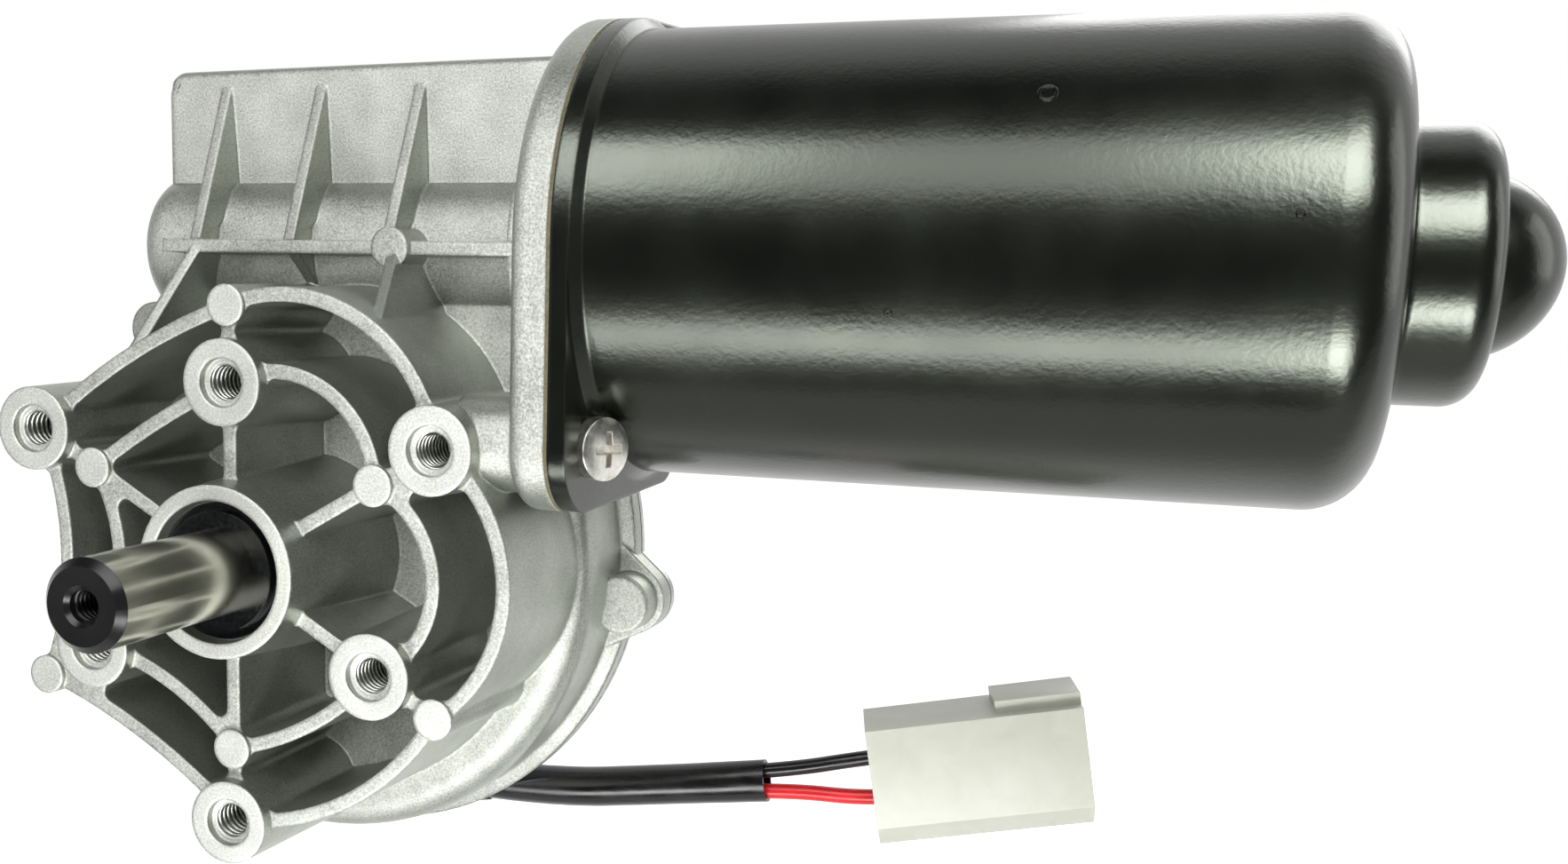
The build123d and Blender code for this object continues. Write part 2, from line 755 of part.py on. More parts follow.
def armature_windings():
    """Copper in the slots and the rounded end turns on both sides of the core."""
    room = 0.3
    middle = (slot_inner_radius + slot_outer_radius) / 2
    bar = Rectangle(slot_outer_radius - slot_inner_radius - 2 * room, slot_width - 2 * room)
    bars = on_motor_axis(Sketch() + PolarLocations(middle, slot_count) * bar, core_left - 2, core_right + 2)
    left = core_left - winding_overhang
    right = core_right + winding_overhang
    inner = motor_shaft_radius + 2
    outer = slot_outer_radius - room
    ends = [(left, core_left - room), (right, core_right + room)]
    for end, core_side in ends:
        bars += turned_on_motor([
            (end, inner, 1), (end, outer - 2, 3), (core_side, outer, 0.5), (core_side, inner, 0)])
    return bars


def commutator():
    riser_left = commutator_right - riser_width
    body = turned_on_motor([
        (commutator_left, motor_shaft_radius + press_gap, 0), (commutator_left, commutator_diameter / 2, 0),
        (riser_left, commutator_diameter / 2, 0), (riser_left, riser_diameter / 2, 0),
        (commutator_right, riser_diameter / 2, 0), (commutator_right, motor_shaft_radius + press_gap, 0)])
    gaps = Sketch() + PolarLocations(riser_diameter / 2, slot_count) * Rectangle(segment_groove, segment_gap)
    return body - on_motor_axis(gaps, commutator_left - 1, commutator_right + 1)


def race_groove():
    """The ring-shaped space that the balls run in."""
    middle = (bearing_diameter + bearing_bore) / 4
    section = Pos(bearing_left + bearing_width / 2, middle) * Circle(ball_diameter / 2 + axial_gap)
    return motor_axis * revolve(section, Axis.X)


def bearing_ring(outer, inner):
    return on_motor_axis(ring(outer, inner), bearing_left, bearing_left + bearing_width) - race_groove()


def bearing_outer_ring():
    return bearing_ring(bearing_diameter / 2, bearing_diameter / 2 - 2.4)


def bearing_inner_ring():
    return bearing_ring(bearing_bore / 2 + 2.4, bearing_bore / 2 + press_gap)


def bearing_balls():
    middle = (bearing_diameter + bearing_bore) / 4
    balls = []
    for index in range(ball_count):
        angle = 2 * pi * index / ball_count
        place = Pos(bearing_left + bearing_width / 2, middle * cos(angle), middle * sin(angle))
        balls.append(motor_axis * place * Sphere(ball_diameter / 2))
    return balls


def worm_end_bush():
    sleeve = ring(tube_bore - press_gap, journal_radius + running_gap)
    return on_motor_axis(sleeve, tube_inner_end + 1, worm_start - 3.5)


def thrust_pad():
    return on_motor_axis(Circle(tube_bore - press_gap), tube_inner_end, tube_inner_end + 0.8)


def can_form(left, wall):
    """The can's half outline, at a depth below its outer skin: body, stepped cap and dome."""
    body_end = can_end - wall
    end = cap_end - wall
    outline = profile([
        (left, 0, 0), (left, can_radius - wall, 0), (body_end, can_radius - wall, can_corner - wall),
        (body_end, cap_radius - wall, cap_foot_round + wall), (end, cap_radius - wall, cap_corner - wall),
        (end, 0, 0)])
    dome = Pos(dome_tip - dome_radius, 0) * Circle(dome_radius - wall)
    return outline + split(dome, Plane.XZ, keep=Keep.BOTTOM)


def motor_can():
    """One deep-drawn shell: flange, body, stepped cap and dome."""
    skin = can_form(can_face, 0)
    foot = can_flange_right + can_foot_round
    skin += profile([
        (can_face, 0, 0), (can_face, can_radius + can_foot_round, 0),
        (can_flange_right, can_radius + can_foot_round, 0),
        (foot, can_radius, 0), (foot, 0, 0)])
    wall = skin - can_form(can_face - 1, can_wall)
    can = motor_axis * revolve(wall, Axis.X)
    can += on_motor_axis(flange_outline() - Circle(can_radius), can_face, can_flange_right)
    for y, z in screw_spots:
        hole = Pos(y, z) * Circle(screw_diameter / 2 + screw_hole_gap)
        can -= on_motor_axis(hole, can_face - 1, can_flange_right + 1)
        seat = Pos(y, z) * Circle(screw_head_diameter / 2 + 0.15)
        can -= on_motor_axis(seat, can_flange_right, can_flange_right + 5)
    return can


def flange_gasket():
    holes = [Pos(y, z) * Circle(screw_diameter / 2 + screw_hole_gap) for y, z in screw_spots]
    outline = flange_outline() - Circle(can_inner) - holes
    return on_motor_axis(outline, flange_face, can_face)


def motor_screws():
    screw = pan_screw(screw_diameter / 2, screw_length, screw_head_diameter / 2, screw_head_height)
    seat = can_flange_right + spring_washer_thickness
    return [motor_axis * Pos(seat, y, z) * Rot(0, 90, 0) * screw for y, z in screw_spots]


def spring_washers():
    split = Pos(0, -screw_head_diameter / 2) * Rectangle(0.8, screw_head_diameter)
    washer = ring(screw_head_diameter / 2 - 0.15, screw_diameter / 2 + 0.25) - split
    return [on_motor_axis(Pos(y, z) * washer, can_flange_right, can_flange_right + spring_washer_thickness)
            for y, z in screw_spots]


def field_magnets():
    arcs = ring(can_inner - press_gap, magnet_inner_radius) - Rectangle(3 * can_inner, magnet_gap)
    return on_motor_axis(arcs, magnet_left, magnet_right)


def magnet_springs():
    """Two spring strips that push the magnets apart, against the can."""
    outer = can_inner - press_gap
    between = Rectangle(3 * can_inner, magnet_gap - 2 * axial_gap)
    strips = ring(outer, outer - magnet_spring_thickness) & between
    return on_motor_axis(strips, magnet_left + 3, magnet_right - 3)


def brush_plate():
    plate = on_motor_axis(ring(brush_plate_radius, brush_plate_hole), brush_plate_left, brush_plate_right)
    post = Rectangle(brush_post_width, brush_post_height)
    post_offset = brush_plate_radius - brush_post_inset
    for y in (-post_offset, post_offset):
        plate += on_motor_axis(Pos(y, 0) * post, brush_plate_right - 1, brush_plate_right + brush_post_length)
    return plate


def brush_side(side):
    """Signed heights of one brush's commutator end, its outer end and its tube's closed end."""
    start = commutator_diameter / 2 + brush_wear_gap
    return side * start, side * (start + brush_length), side * brush_tube_end


def upright(sketch, low, high):
    """A sketch in X and Y round the brush line, made solid between two heights from the motor's axis."""
    bottom = min(low, high)
    return motor_axis * Pos(brush_middle, 0, bottom) * extrude(sketch, amount=abs(high - low))


def carbon_brush(side):
    start, end, _ = brush_side(side)
    block = upright(Rectangle(brush_width, brush_thickness), side * (commutator_diameter / 2 - 2), end)
    worn = Circle(commutator_diameter / 2 + brush_wear_gap)
    return block - on_motor_axis(worn, commutator_left - 1, commutator_right + 1)


def brush_tubes():
    tubes = []
    inside = Rectangle(brush_width + 2 * brush_clearance, brush_thickness + 2 * brush_clearance)
    wall = 2 * (brush_clearance + brush_tube_wall)
    outside = Rectangle(brush_width + wall, brush_thickness + wall)
    for side in (1, -1):
        end = side * brush_tube_end
        tube = upright(outside, side * brush_tube_start, end)
        tubes.append(tube - upright(inside, side * (brush_tube_start - 1), end - side * brush_tube_wall))
    return tubes


def brush_spring(side):
    _, start, end = brush_side(side)
    free = brush_tube_end - brush_tube_wall - abs(start)
    height = free - brush_spring_wire - 2 * axial_gap
    path = Helix(height / brush_spring_turns, height, brush_spring_radius)
    wire = Plane(origin=path @ 0, z_dir=path % 0) * Rectangle(brush_spring_wire, brush_spring_wire)
    coil = sweep(wire, path=path, is_frenet=True)
    bottom = min(abs(start), brush_tube_end) if side > 0 else -(brush_tube_end - brush_tube_wall)
    return motor_axis * Pos(brush_middle, 0, bottom + brush_spring_wire / 2 + axial_gap) * coil


def tail_seat():
    """Middle of the ball-shaped bush, which sits in the mouth of the dome."""
    mouth = sqrt((dome_radius - can_wall) ** 2 - (cap_end - can_wall - dome_tip + dome_radius) ** 2)
    return cap_end - can_wall - sqrt((tail_bush_radius + axial_gap) ** 2 - mouth ** 2)


def tail_bush():
    bore = journal_radius + running_gap
    place = Pos(tail_seat(), bore + tail_bush_radius / 2)
    band = place * Rectangle(tail_bush_width, tail_bush_radius)
    section = Pos(tail_seat(), 0) * Circle(tail_bush_radius) & band
    return motor_axis * revolve(section, Axis.X)


def bush_clip():
    left = tail_seat() - tail_bush_width / 2 + 0.8
    reach = tail_seat() - left - bush_clip_thickness
    inner = sqrt(tail_bush_radius ** 2 - reach ** 2) + axial_gap
    return on_motor_axis(ring(cap_radius - can_wall - axial_gap, inner), left, left + bush_clip_thickness)


def tail_button():
    """Thrust button between the shaft's tail and the dome."""
    radius = tail_button_diameter / 2
    left = shaft_tail + 2 * axial_gap
    right = dome_tip - dome_radius + sqrt((dome_radius - can_wall) ** 2 - radius ** 2) - axial_gap
    return on_motor_axis(Circle(radius), left, right)


def cable_grommet():
    """Rubber grommet: plug in the outlet, flange and tapered nose towards the lead."""
    plug = outlet_radius - outlet_wall - press_gap
    nose = outlet_right + grommet_flange
    tip = nose + grommet_nose
    outline = profile([
        (outlet_right - grommet_plug, 0, 0), (outlet_right - grommet_plug, plug, 0), (outlet_right, plug, 0),
        (outlet_right, outlet_radius, 0.6), (nose, outlet_radius - 0.4, 0.6),
        (tip, sleeve_diameter / 2 + 0.3, 0), (tip, 0, 0)])
    body = revolve(outline, Axis.X)
    # Its flange is flat where it stands on the cover
    body = Pos(0, outlet_depth, outlet_height) * body
    return body - along_y(Rectangle(3 * rim_radius, 3 * rim_radius), 0, cover_back)


def off_outlet(place):
    """A point given as X and its distances behind and above the outlet's axis."""
    x, behind, above = place
    return (x, outlet_depth + behind, outlet_height + above)


def lead_points():
    """The lead's route from the grommet to its open end."""
    start = outlet_right + grommet_flange + grommet_nose
    return [(start, outlet_depth, outlet_height)] + [off_outlet(bend) for bend in lead_bends]


def tube_path(points):
    """Straight runs joined by arcs as large as the runs allow, with the radii."""
    vectors = [Vector(*point) for point in points]
    radii = []
    for before, at, after in zip(vectors, vectors[1:], vectors[2:]):
        turn = radians((at - before).get_angle(after - at))
        radii.append(0.45 * min((at - before).length, (after - at).length) / tan(turn / 2))
    return FilletPolyline(*points, radius=radii), radii


def tube(points, radius):
    """A round solid along a route, printed with its bend radii and its volume as a check."""
    path, radii = tube_path(points)
    start = Plane(origin=path @ 0, z_dir=path % 0)
    solid = sweep(start * Circle(radius), path=path)
    share = solid.volume / (pi * radius ** 2 * path.length)
    bends = [round(r, 1) for r in radii]
    print("tube", round(path.length, 1), "mm, radii", bends, "volume share", round(share, 4))
    return solid


def connector_frame():
    """The place and tilt of the connector, its X along the wires."""
    return Pos(*off_outlet(connector_place)) * Rot(0, 0, connector_yaw) * Rot(0, -connector_pitch, 0)


def wire_points(side):
    """A wire's route: side is 1 for the upper wire, -1 for the lower one."""
    before, mouth = [Vector(*point) for point in lead_points()[-2:]]
    along = (mouth - before).normalized()
    mouth += Vector(0, 0, side * wire_lift)
    entry = (connector_frame() * Pos(0, 0, side * wire_spacing / 2)).position
    inward = (connector_frame() * Pos(wire_reach, 0, side * wire_spacing / 2)).position
    route = [mouth - along * wire_hidden, mouth + along * wire_straight, entry, inward]
    return [tuple(point) for point in route]


def wire(side):
    return tube(wire_points(side), wire_diameter / 2)


def lead_sleeve():
    sleeve = tube(lead_points(), sleeve_diameter / 2)
    for side in (1, -1):
        start, ahead = [Vector(*point) for point in wire_points(side)[:2]]
        along = (ahead - start).normalized()
        bore = Plane(origin=start - along * wire_room, z_dir=along) * Circle(wire_diameter / 2 + wire_room)
        sleeve -= extrude(bore, amount=wire_hidden + wire_straight)
    return sleeve


def connector_housing():
    """Moulded two-way housing with a socket, a keyed step and one bevelled edge."""
    low = (Align.MIN, Align.CENTER, Align.CENTER)
    body = Box(connector_length, connector_thickness, connector_height, align=low)
    bevel = body.edges().filter_by(Axis.X).sort_by(lambda edge: edge.center().Y + edge.center().Z)[0]
    body = chamfer(bevel, connector_chamfer)
    above = (Align.MAX, Align.CENTER, Align.MIN)
    step = Box(connector_step_length, connector_thickness - 4, connector_step, align=above)
    body += Pos(connector_length, 0, connector_height / 2) * step
    socket_width = connector_thickness - 2 * connector_wall - 2
    socket_height = connector_height - 2 * connector_wall
    inward = (Align.MAX, Align.CENTER, Align.CENTER)
    socket = Box(connector_socket_depth, socket_width, socket_height, align=inward)
    body -= Pos(connector_length, 0.6, 0.6) * socket
    on_end = (Align.CENTER, Align.CENTER, Align.MIN)
    for side in (1, -1):
        bore = Cylinder(wire_diameter / 2 + 2 * wire_room, wire_reach + wire_room, align=on_end)
        body -= Pos(0, 0, side * wire_spacing / 2) * Rot(0, 90, 0) * bore
        slot = Box(connector_length - connector_socket_depth, tab_width + 0.2, tab_thickness + 0.1, align=low)
        body -= Pos(wire_reach + wire_room, 0, side * wire_spacing / 2) * slot
    return connector_frame() * body


def connector_tabs():
    tabs = []
    for side in (1, -1):
        tab = Box(tab_length, tab_width, tab_thickness, align=(Align.MIN, Align.CENTER, Align.CENTER))
        tabs.append(connector_frame() * Pos(wire_reach + 3 * wire_room, 0, side * wire_spacing / 2) * tab)
    return tabs


nodes = {
    "gearbox_housing": gearbox_housing,
    "rear_cover": rear_cover,
    "cover_gasket": cover_gasket,
    "cover_screws": cover_screws,
    "front_bush": front_bush,
    "rear_bush": rear_bush,
    "shaft_seal": shaft_seal,
    "worm_end_bush": worm_end_bush,
    "thrust_pad": thrust_pad,
    "output_shaft": output_shaft,
    "worm_wheel": worm_wheel,
    "wheel_hub": wheel_hub,
    "retaining_ring": retaining_ring,
    "front_washer": front_washer,
    "rear_washer": rear_washer,
    "motor_can": motor_can,
    "flange_gasket": flange_gasket,
    "motor_screws": motor_screws,
    "spring_washers": spring_washers,
    "field_magnets": field_magnets,
    "magnet_springs": magnet_springs,
    "bearing_outer_ring": bearing_outer_ring,
    "bearing_inner_ring": bearing_inner_ring,
    "bearing_balls": bearing_balls,
    "tail_bush": tail_bush,
    "bush_clip": bush_clip,
    "tail_button": tail_button,
    "brush_plate": brush_plate,
    "brush_tubes": brush_tubes,
    "brush_top": lambda: carbon_brush(1),
    "brush_bottom": lambda: carbon_brush(-1),
    "brush_spring_top": lambda: brush_spring(1),
    "brush_spring_bottom": lambda: brush_spring(-1),
    "armature_shaft": armature_shaft,
    "armature_core": armature_core,
    "armature_windings": armature_windings,
    "commutator": commutator,
    "cable_grommet": cable_grommet,
    "lead_sleeve": lead_sleeve,
    "black_wire": lambda: wire(1),
    "red_wire": lambda: wire(-1),
    "connector_housing": connector_housing,
    "connector_tabs": connector_tabs,
}

os.makedirs("parts", exist_ok=True)
for name, make in nodes.items():
    made = make()
    solids = made if isinstance(made, list) else made.solids()
    whole = Compound([solid for piece in solids for solid in piece.solids()])
    export_step(whole, f"parts/{name}.step")
    print(name, len(whole.solids()), round(whole.volume, 1))
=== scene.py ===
import math

import bmesh
import bpy
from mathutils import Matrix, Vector


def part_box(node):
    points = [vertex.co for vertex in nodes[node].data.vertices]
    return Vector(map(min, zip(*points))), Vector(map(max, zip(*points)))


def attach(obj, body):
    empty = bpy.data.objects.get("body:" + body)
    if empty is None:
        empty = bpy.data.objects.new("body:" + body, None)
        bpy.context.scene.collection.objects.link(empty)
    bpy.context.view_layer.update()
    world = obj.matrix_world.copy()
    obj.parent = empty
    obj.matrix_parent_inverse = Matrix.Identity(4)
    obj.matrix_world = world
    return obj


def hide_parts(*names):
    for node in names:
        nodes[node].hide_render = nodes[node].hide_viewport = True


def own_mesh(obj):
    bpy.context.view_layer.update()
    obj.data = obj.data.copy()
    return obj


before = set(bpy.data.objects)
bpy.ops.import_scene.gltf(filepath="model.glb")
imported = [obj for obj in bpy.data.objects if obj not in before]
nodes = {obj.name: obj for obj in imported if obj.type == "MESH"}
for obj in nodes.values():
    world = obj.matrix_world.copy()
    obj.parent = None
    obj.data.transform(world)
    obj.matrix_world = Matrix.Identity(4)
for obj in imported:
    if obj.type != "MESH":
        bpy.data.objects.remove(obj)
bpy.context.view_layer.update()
scene = bpy.context.scene
mm = 0.001
print("frame loaded:", len(nodes), "nodes")


def linearColour(hexColour):
    parts = [int(hexColour[i:i + 2], 16) / 255 for i in (1, 3, 5)]
    return (*[p / 12.92 if p <= 0.04045 else ((p + 0.055) / 1.055) ** 2.4 for p in parts], 1)


def addNode(tree, kind, inputs=(), **settings):
    # A node given as an input stands for its first output
    node = tree.nodes.new(kind)
    for name, value in settings.items():
        setattr(node, name, value)
    for name, value in dict(inputs).items():
        if isinstance(value, bpy.types.Node):
            value = value.outputs[0]
        if isinstance(value, bpy.types.NodeSocket):
            tree.links.new(value, node.inputs[name])
        else:
            node.inputs[name].default_value = value
    return node


def addObject(name, data):
    piece = bpy.data.objects.new(name, data)
    scene.collection.objects.link(piece)
    return piece


def toPlainMesh(piece, name):
    # The evaluated shape as a mesh of its own, without live modifiers
    bpy.context.view_layer.update()
    mesh = bpy.data.meshes.new_from_object(piece.evaluated_get(bpy.context.evaluated_depsgraph_get()))
    mesh.name = name
    bpy.data.objects.remove(piece)
    return addObject(name, mesh)


def smoothBelow(mesh, degrees):
    # Smooth shading, with the edges that are sharper than this left sharp
    mesh.shade_smooth()
    mesh.set_sharp_from_angle(angle=math.radians(degrees))


def putInPlace(piece, body, slotName, *replaced):
    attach(piece, body)
    if replaced:
        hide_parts(*replaced)


# Camera where the photograph was taken from
photoCamera = {
    "place": (123.825, -183.711, 37.370),  # mm
    "turn": (81.3784, -1.4008, 19.1107),  # degrees about X, Y and Z
    "lens": 35.8414,
    "shift": (0.0926, 0.0723),
    "clipStart": 10,  # mm
}
camera = addObject("photoCamera", bpy.data.cameras.new("photoCamera"))
camera.location = Vector(photoCamera["place"]) * mm
camera.rotation_euler = [math.radians(turn) for turn in photoCamera["turn"]]
camera.data.lens = photoCamera["lens"]
camera.data.shift_x, camera.data.shift_y = photoCamera["shift"]
camera.data.clip_start = photoCamera["clipStart"] * mm
scene.camera = camera
print("camera placed")

# The lead, in mm: a sleeve out of the rear cover, two wires and the connector
lead = {
    "route": [(20, 47, -40.8), (32, 47, -40.8), (48.5, 47.3, -38.4), (66.8, 48, -35.6)],
    "sleeveRadius": 3.2,
    "sleeveWall": 0.45,
    "sleeveSides": 32,
    "sleeveSmooth": 40,  # degrees
    "hollow": 11,  # depth of the open end
    "flattening": 0.12,  # share by which the cut end is pressed flat
    "pressReach": 1.2,  # how far along the pressing goes, in depths of the open end
    "pressSpread": 0.4,  # how much of it comes back as width
    "blackRoute": [(57.42, 47.64, -35.54), (69.27, 48.09, -33.72), (82.62, 48.48, -30.05), (90.33, 50.11, -28.66)],
    "redRoute": [(57.42, 47.64, -38.54), (69.27, 48.09, -36.72), (83.78, 48.72, -36.75), (91.48, 50.36, -35.36)],
    "wireRadius": 1.2,
    "wireRoundness": 6,
    "curveSteps": 16,
}


def nurbsCurve(name, points, radius):
    curve = bpy.data.curves.new(name, "CURVE")
    curve.dimensions = "3D"
    curve.resolution_u = lead["curveSteps"]
    spline = curve.splines.new("NURBS")
    spline.points.add(len(points) - 1)
    for point, place in zip(spline.points, points):
        point.co = (*[p * mm for p in place], 1)
    spline.order_u = 3
    spline.use_endpoint_u = True
    curve.bevel_depth = radius * mm
    curve.bevel_resolution = lead["wireRoundness"]
    curve.use_fill_caps = True
    return addObject(name, curve)


def routeLine(name, points):
    line = toPlainMesh(nurbsCurve(name, points, 0), name)
    places = [vertex.co.copy() for vertex in line.data.vertices]
    bpy.data.objects.remove(line)
    return places


def hollowTube(name, line):
    # Rings along the line, then back inside the open end as far as the hollow goes
    radius, wall, hollow = (lead[size] * mm for size in ("sleeveRadius", "sleeveWall", "hollow"))
    sides = lead["sleeveSides"]
    lengths = [0]
    for before, after in zip(line, line[1:]):
        lengths.append(lengths[-1] + (after - before).length)
    whole = lengths[-1]
    rings = [(i, radius, lengths[i]) for i in range(len(line))]
    rings += [(len(line) - 1, radius - wall, whole)]
    rings += [(i, radius - wall, lengths[i]) for i in range(len(line) - 2, 0, -1) if whole - lengths[i] < hollow]
    body = bmesh.new()
    loops = []
    for index, ringRadius, reach in rings:
        ahead = line[min(index + 1, len(line) - 1)] - line[max(index - 1, 0)]
        turn = ahead.to_track_quat("X", "Z").to_matrix()
        # The cut end is pressed a little flat
        press = lead["flattening"] * max(0, 1 - (whole - reach) / (hollow * lead["pressReach"]))
        wide = press * lead["pressSpread"]
        loop = []
        for side in range(sides):
            angle = 2 * math.pi * side / sides
            across = Vector((0, math.cos(angle) * (1 - press), math.sin(angle) * (1 + wide))) * ringRadius
            loop.append(body.verts.new(line[index] + turn @ across))
        loops.append(loop)
    for near, far in zip(loops, loops[1:]):
        for side in range(sides):
            following = (side + 1) % sides
            body.faces.new((near[side], near[following], far[following], far[side]))
    body.faces.new(loops[0][::-1])
    body.faces.new(loops[-1])
    bmesh.ops.recalc_face_normals(body, faces=body.faces)
    mesh = bpy.data.meshes.new(name)
    body.to_mesh(mesh)
    body.free()
    smoothBelow(mesh, lead["sleeveSmooth"])
    return addObject(name, mesh)


def lineLength(places):
    return sum((after - before).length for before, after in zip(places, places[1:]))


sleeveLine = routeLine("sleeveRoute", lead["route"])
sleeve = hollowTube("leadSleeve", sleeveLine)
blackWire = nurbsCurve("blackLeadWire", lead["blackRoute"], lead["wireRadius"])
redWire = nurbsCurve("redLeadWire", lead["redRoute"], lead["wireRadius"])
blackLine = routeLine("blackWireRoute", lead["blackRoute"])
redLine = routeLine("redWireRoute", lead["redRoute"])
print("lead: sleeve", round(lineLength(sleeveLine) / mm, 1), "wires", round(lineLength(blackLine) / mm, 1),
      round(lineLength(redLine) / mm, 1), "mm")

# Studio, in metres: a sheet of pale paper well below the hanging part, soft lamps above, below and beside it
studio = {
    "floorHeight": -0.30,
    "floorFront": -0.12,
    "floorReach": 4.0,
    "floorColour": "#EDEDEB",
    "floorGlow": (0.8, 1.0),  # below the part and far from it
    "glowReach": (0.3, 1.2),
    "frontShade": 0.15,  # the paper's front edge is painted darker where reflections see it, a painted shade
    "frontDim": (0.02, 0.22),
    "backdrop": "#FFFFFF",
    "skyColour": "#C9CCCE",
    "skyStrength": 0.25,
    "roomColour": "#1F2122",
    "roomEdge": (-0.1, 0.35),  # Y of the direction where the dim room gives way to the backdrop
}

# Each lamp: place, aim, width and height in metres, power in watts, and the only pieces that it reaches, if so
lamps = {
    "topStrip": {"place": (0.10, -0.27, 0.30), "aim": (0.10, 0.0, 0.06),
                 "size": (0.46, 0.19), "power": 1.3},
    "topEndBox": {"place": (0.25, -0.22, 0.26), "aim": (0.13, 0.0, 0.06),
                  "size": (0.22, 0.17), "power": 2.3, "onto": ["motor_can"]},
    "topStartBox": {"place": (-0.06, -0.22, 0.26), "aim": (0.05, 0.0, 0.06),
                    "size": (0.10, 0.15), "power": 0.4, "onto": ["motor_can"]},
    "lowStrip": {"place": (0.10, -0.25, -0.20), "aim": (0.10, 0.0, 0.03),
                 "size": (0.46, 0.10), "power": 1.7},
    "lowEndBox": {"place": (0.25, -0.21, -0.17), "aim": (0.13, 0.0, 0.03),
                  "size": (0.17, 0.10), "power": 1.1, "onto": ["motor_can"]},
    "frontFill": {"place": (0.06, -0.50, 0.10), "aim": (0.0, 0.0, 0.02),
                  "size": (0.25, 0.25), "power": 1.15,
                  "onto": ["gearbox_housing", "output_shaft", "spring_washers"]},
    "sideSoftbox": {"place": (-0.50, -0.42, 0.12), "aim": (0.0, 0.0, 0.0),
                    "size": (0.34, 0.40), "power": 0.7},
    "backSoftbox": {"place": (0.30, 0.75, 0.55), "aim": (0.05, 0.0, 0.0),
                    "size": (0.60, 0.50), "power": 2.8},
    "rightSoftbox": {"place": (0.75, 0.10, 0.20), "aim": (0.10, 0.0, 0.0),
                     "size": (0.30, 0.50), "power": 1.0},
}

for name, lamp in lamps.items():
    light = bpy.data.lights.new(name, "AREA")
    light.shape = "RECTANGLE"
    light.size, light.size_y = lamp["size"]
    light.energy = lamp["power"]
    holder = addObject(name, light)
    holder.location = lamp["place"]
    holder.rotation_euler = (Vector(lamp["aim"]) - Vector(lamp["place"])).to_track_quat("-Z", "Y").to_euler()
    holder.visible_camera = False
    if "onto" in lamp:
        # A screened lamp that reaches these pieces only
        reached = bpy.data.collections.new(name + "Reach")
        for node in lamp["onto"]:
            reached.objects.link(nodes[node])
        holder.light_linking.receiver_collection = reached

reach = studio["floorReach"]
floorCorners = ((-reach, studio["floorFront"]), (reach, studio["floorFront"]), (reach, reach), (-reach, reach))
floorMesh = bpy.data.meshes.new("floor")
floorMesh.from_pydata([(x, y, studio["floorHeight"]) for x, y in floorCorners], [], [(0, 1, 2, 3)])
floor = addObject("floor", floorMesh)


def newMaterial(name):
    material = bpy.data.materials.new(name)
    material.use_nodes = True
    tree = material.node_tree
    tree.nodes.clear()
    return material, tree, addNode(tree, "ShaderNodeTexCoord").outputs


def closeMaterial(tree, surface):
    shader = addNode(tree, "ShaderNodeBsdfPrincipled", surface)
    addNode(tree, "ShaderNodeOutputMaterial", {"Surface": shader})


def seenDirectly(tree):
    # 1 where the camera, a reflection or a transparent piece looks at it, 0 where it only lights
    path = addNode(tree, "ShaderNodeLightPath")
    seen = addNode(tree, "ShaderNodeMath", {0: path.outputs["Is Camera Ray"], 1: path.outputs["Is Glossy Ray"]},
                   operation="MAXIMUM")
    return addNode(tree, "ShaderNodeMath", {0: seen, 1: path.outputs["Is Transmission Ray"]}, operation="MAXIMUM")


# Matt white paper floor: the camera sees it evenly white with the shadow on it
floorPaper, tree, place = newMaterial("mattWhitePaper")
paper = addNode(tree, "ShaderNodeBsdfDiffuse", {"Color": linearColour(studio["floorColour"])})
away = addNode(tree, "ShaderNodeVectorMath", {0: place["Object"]}, operation="LENGTH")
brighter = addNode(tree, "ShaderNodeMapRange", {0: away.outputs["Value"], 1: studio["glowReach"][0],
                                                2: studio["glowReach"][1], 3: studio["floorGlow"][0],
                                                4: studio["floorGlow"][1]})
placeAxes = addNode(tree, "ShaderNodeSeparateXYZ", {0: place["Object"]})
# Painted shade: in reflections the paper's glow is dimmed towards its front edge
shaded = addNode(tree, "ShaderNodeMapRange", {0: placeAxes.outputs["Y"], 1: studio["frontDim"][0],
                                              2: studio["frontDim"][1], 3: studio["frontShade"], 4: 1.0},
                 interpolation_type="SMOOTHSTEP")
mirrored = addNode(tree, "ShaderNodeLightPath").outputs["Is Glossy Ray"]
shade = addNode(tree, "ShaderNodeMix", {0: mirrored, 2: 1.0, 3: shaded})
strength = addNode(tree, "ShaderNodeMath", {0: brighter, 1: shade}, operation="MULTIPLY")
glow = addNode(tree, "ShaderNodeEmission", {"Color": linearColour(studio["backdrop"]), "Strength": strength})
added = addNode(tree, "ShaderNodeAddShader", {0: paper, 1: glow})
mixed = addNode(tree, "ShaderNodeMixShader", {0: seenDirectly(tree), 1: paper, 2: added})
addNode(tree, "ShaderNodeOutputMaterial", {"Surface": mixed})
floorMesh.materials.append(floorPaper)

# World: white backdrop, with the dimmer room on the photographer's side in reflections
world = bpy.data.worlds.new("studio")
scene.world = world
world.use_nodes = True
tree = world.node_tree
tree.nodes.clear()
direction = addNode(tree, "ShaderNodeTexCoord").outputs["Generated"]
axes = addNode(tree, "ShaderNodeSeparateXYZ", {0: direction})
towardsBack = addNode(tree, "ShaderNodeMapRange", {0: axes.outputs["Y"], 1: studio["roomEdge"][0],
                                                   2: studio["roomEdge"][1], 3: 0.0, 4: 1.0},
                      interpolation_type="SMOOTHSTEP")
path = addNode(tree, "ShaderNodeLightPath")
backdropShare = addNode(tree, "ShaderNodeMath", {0: towardsBack, 1: path.outputs["Is Camera Ray"]},
                        operation="MAXIMUM")
backdrop = addNode(tree, "ShaderNodeMix", {0: backdropShare, 6: linearColour(studio["roomColour"]),
                                           7: linearColour(studio["backdrop"])}, data_type="RGBA")
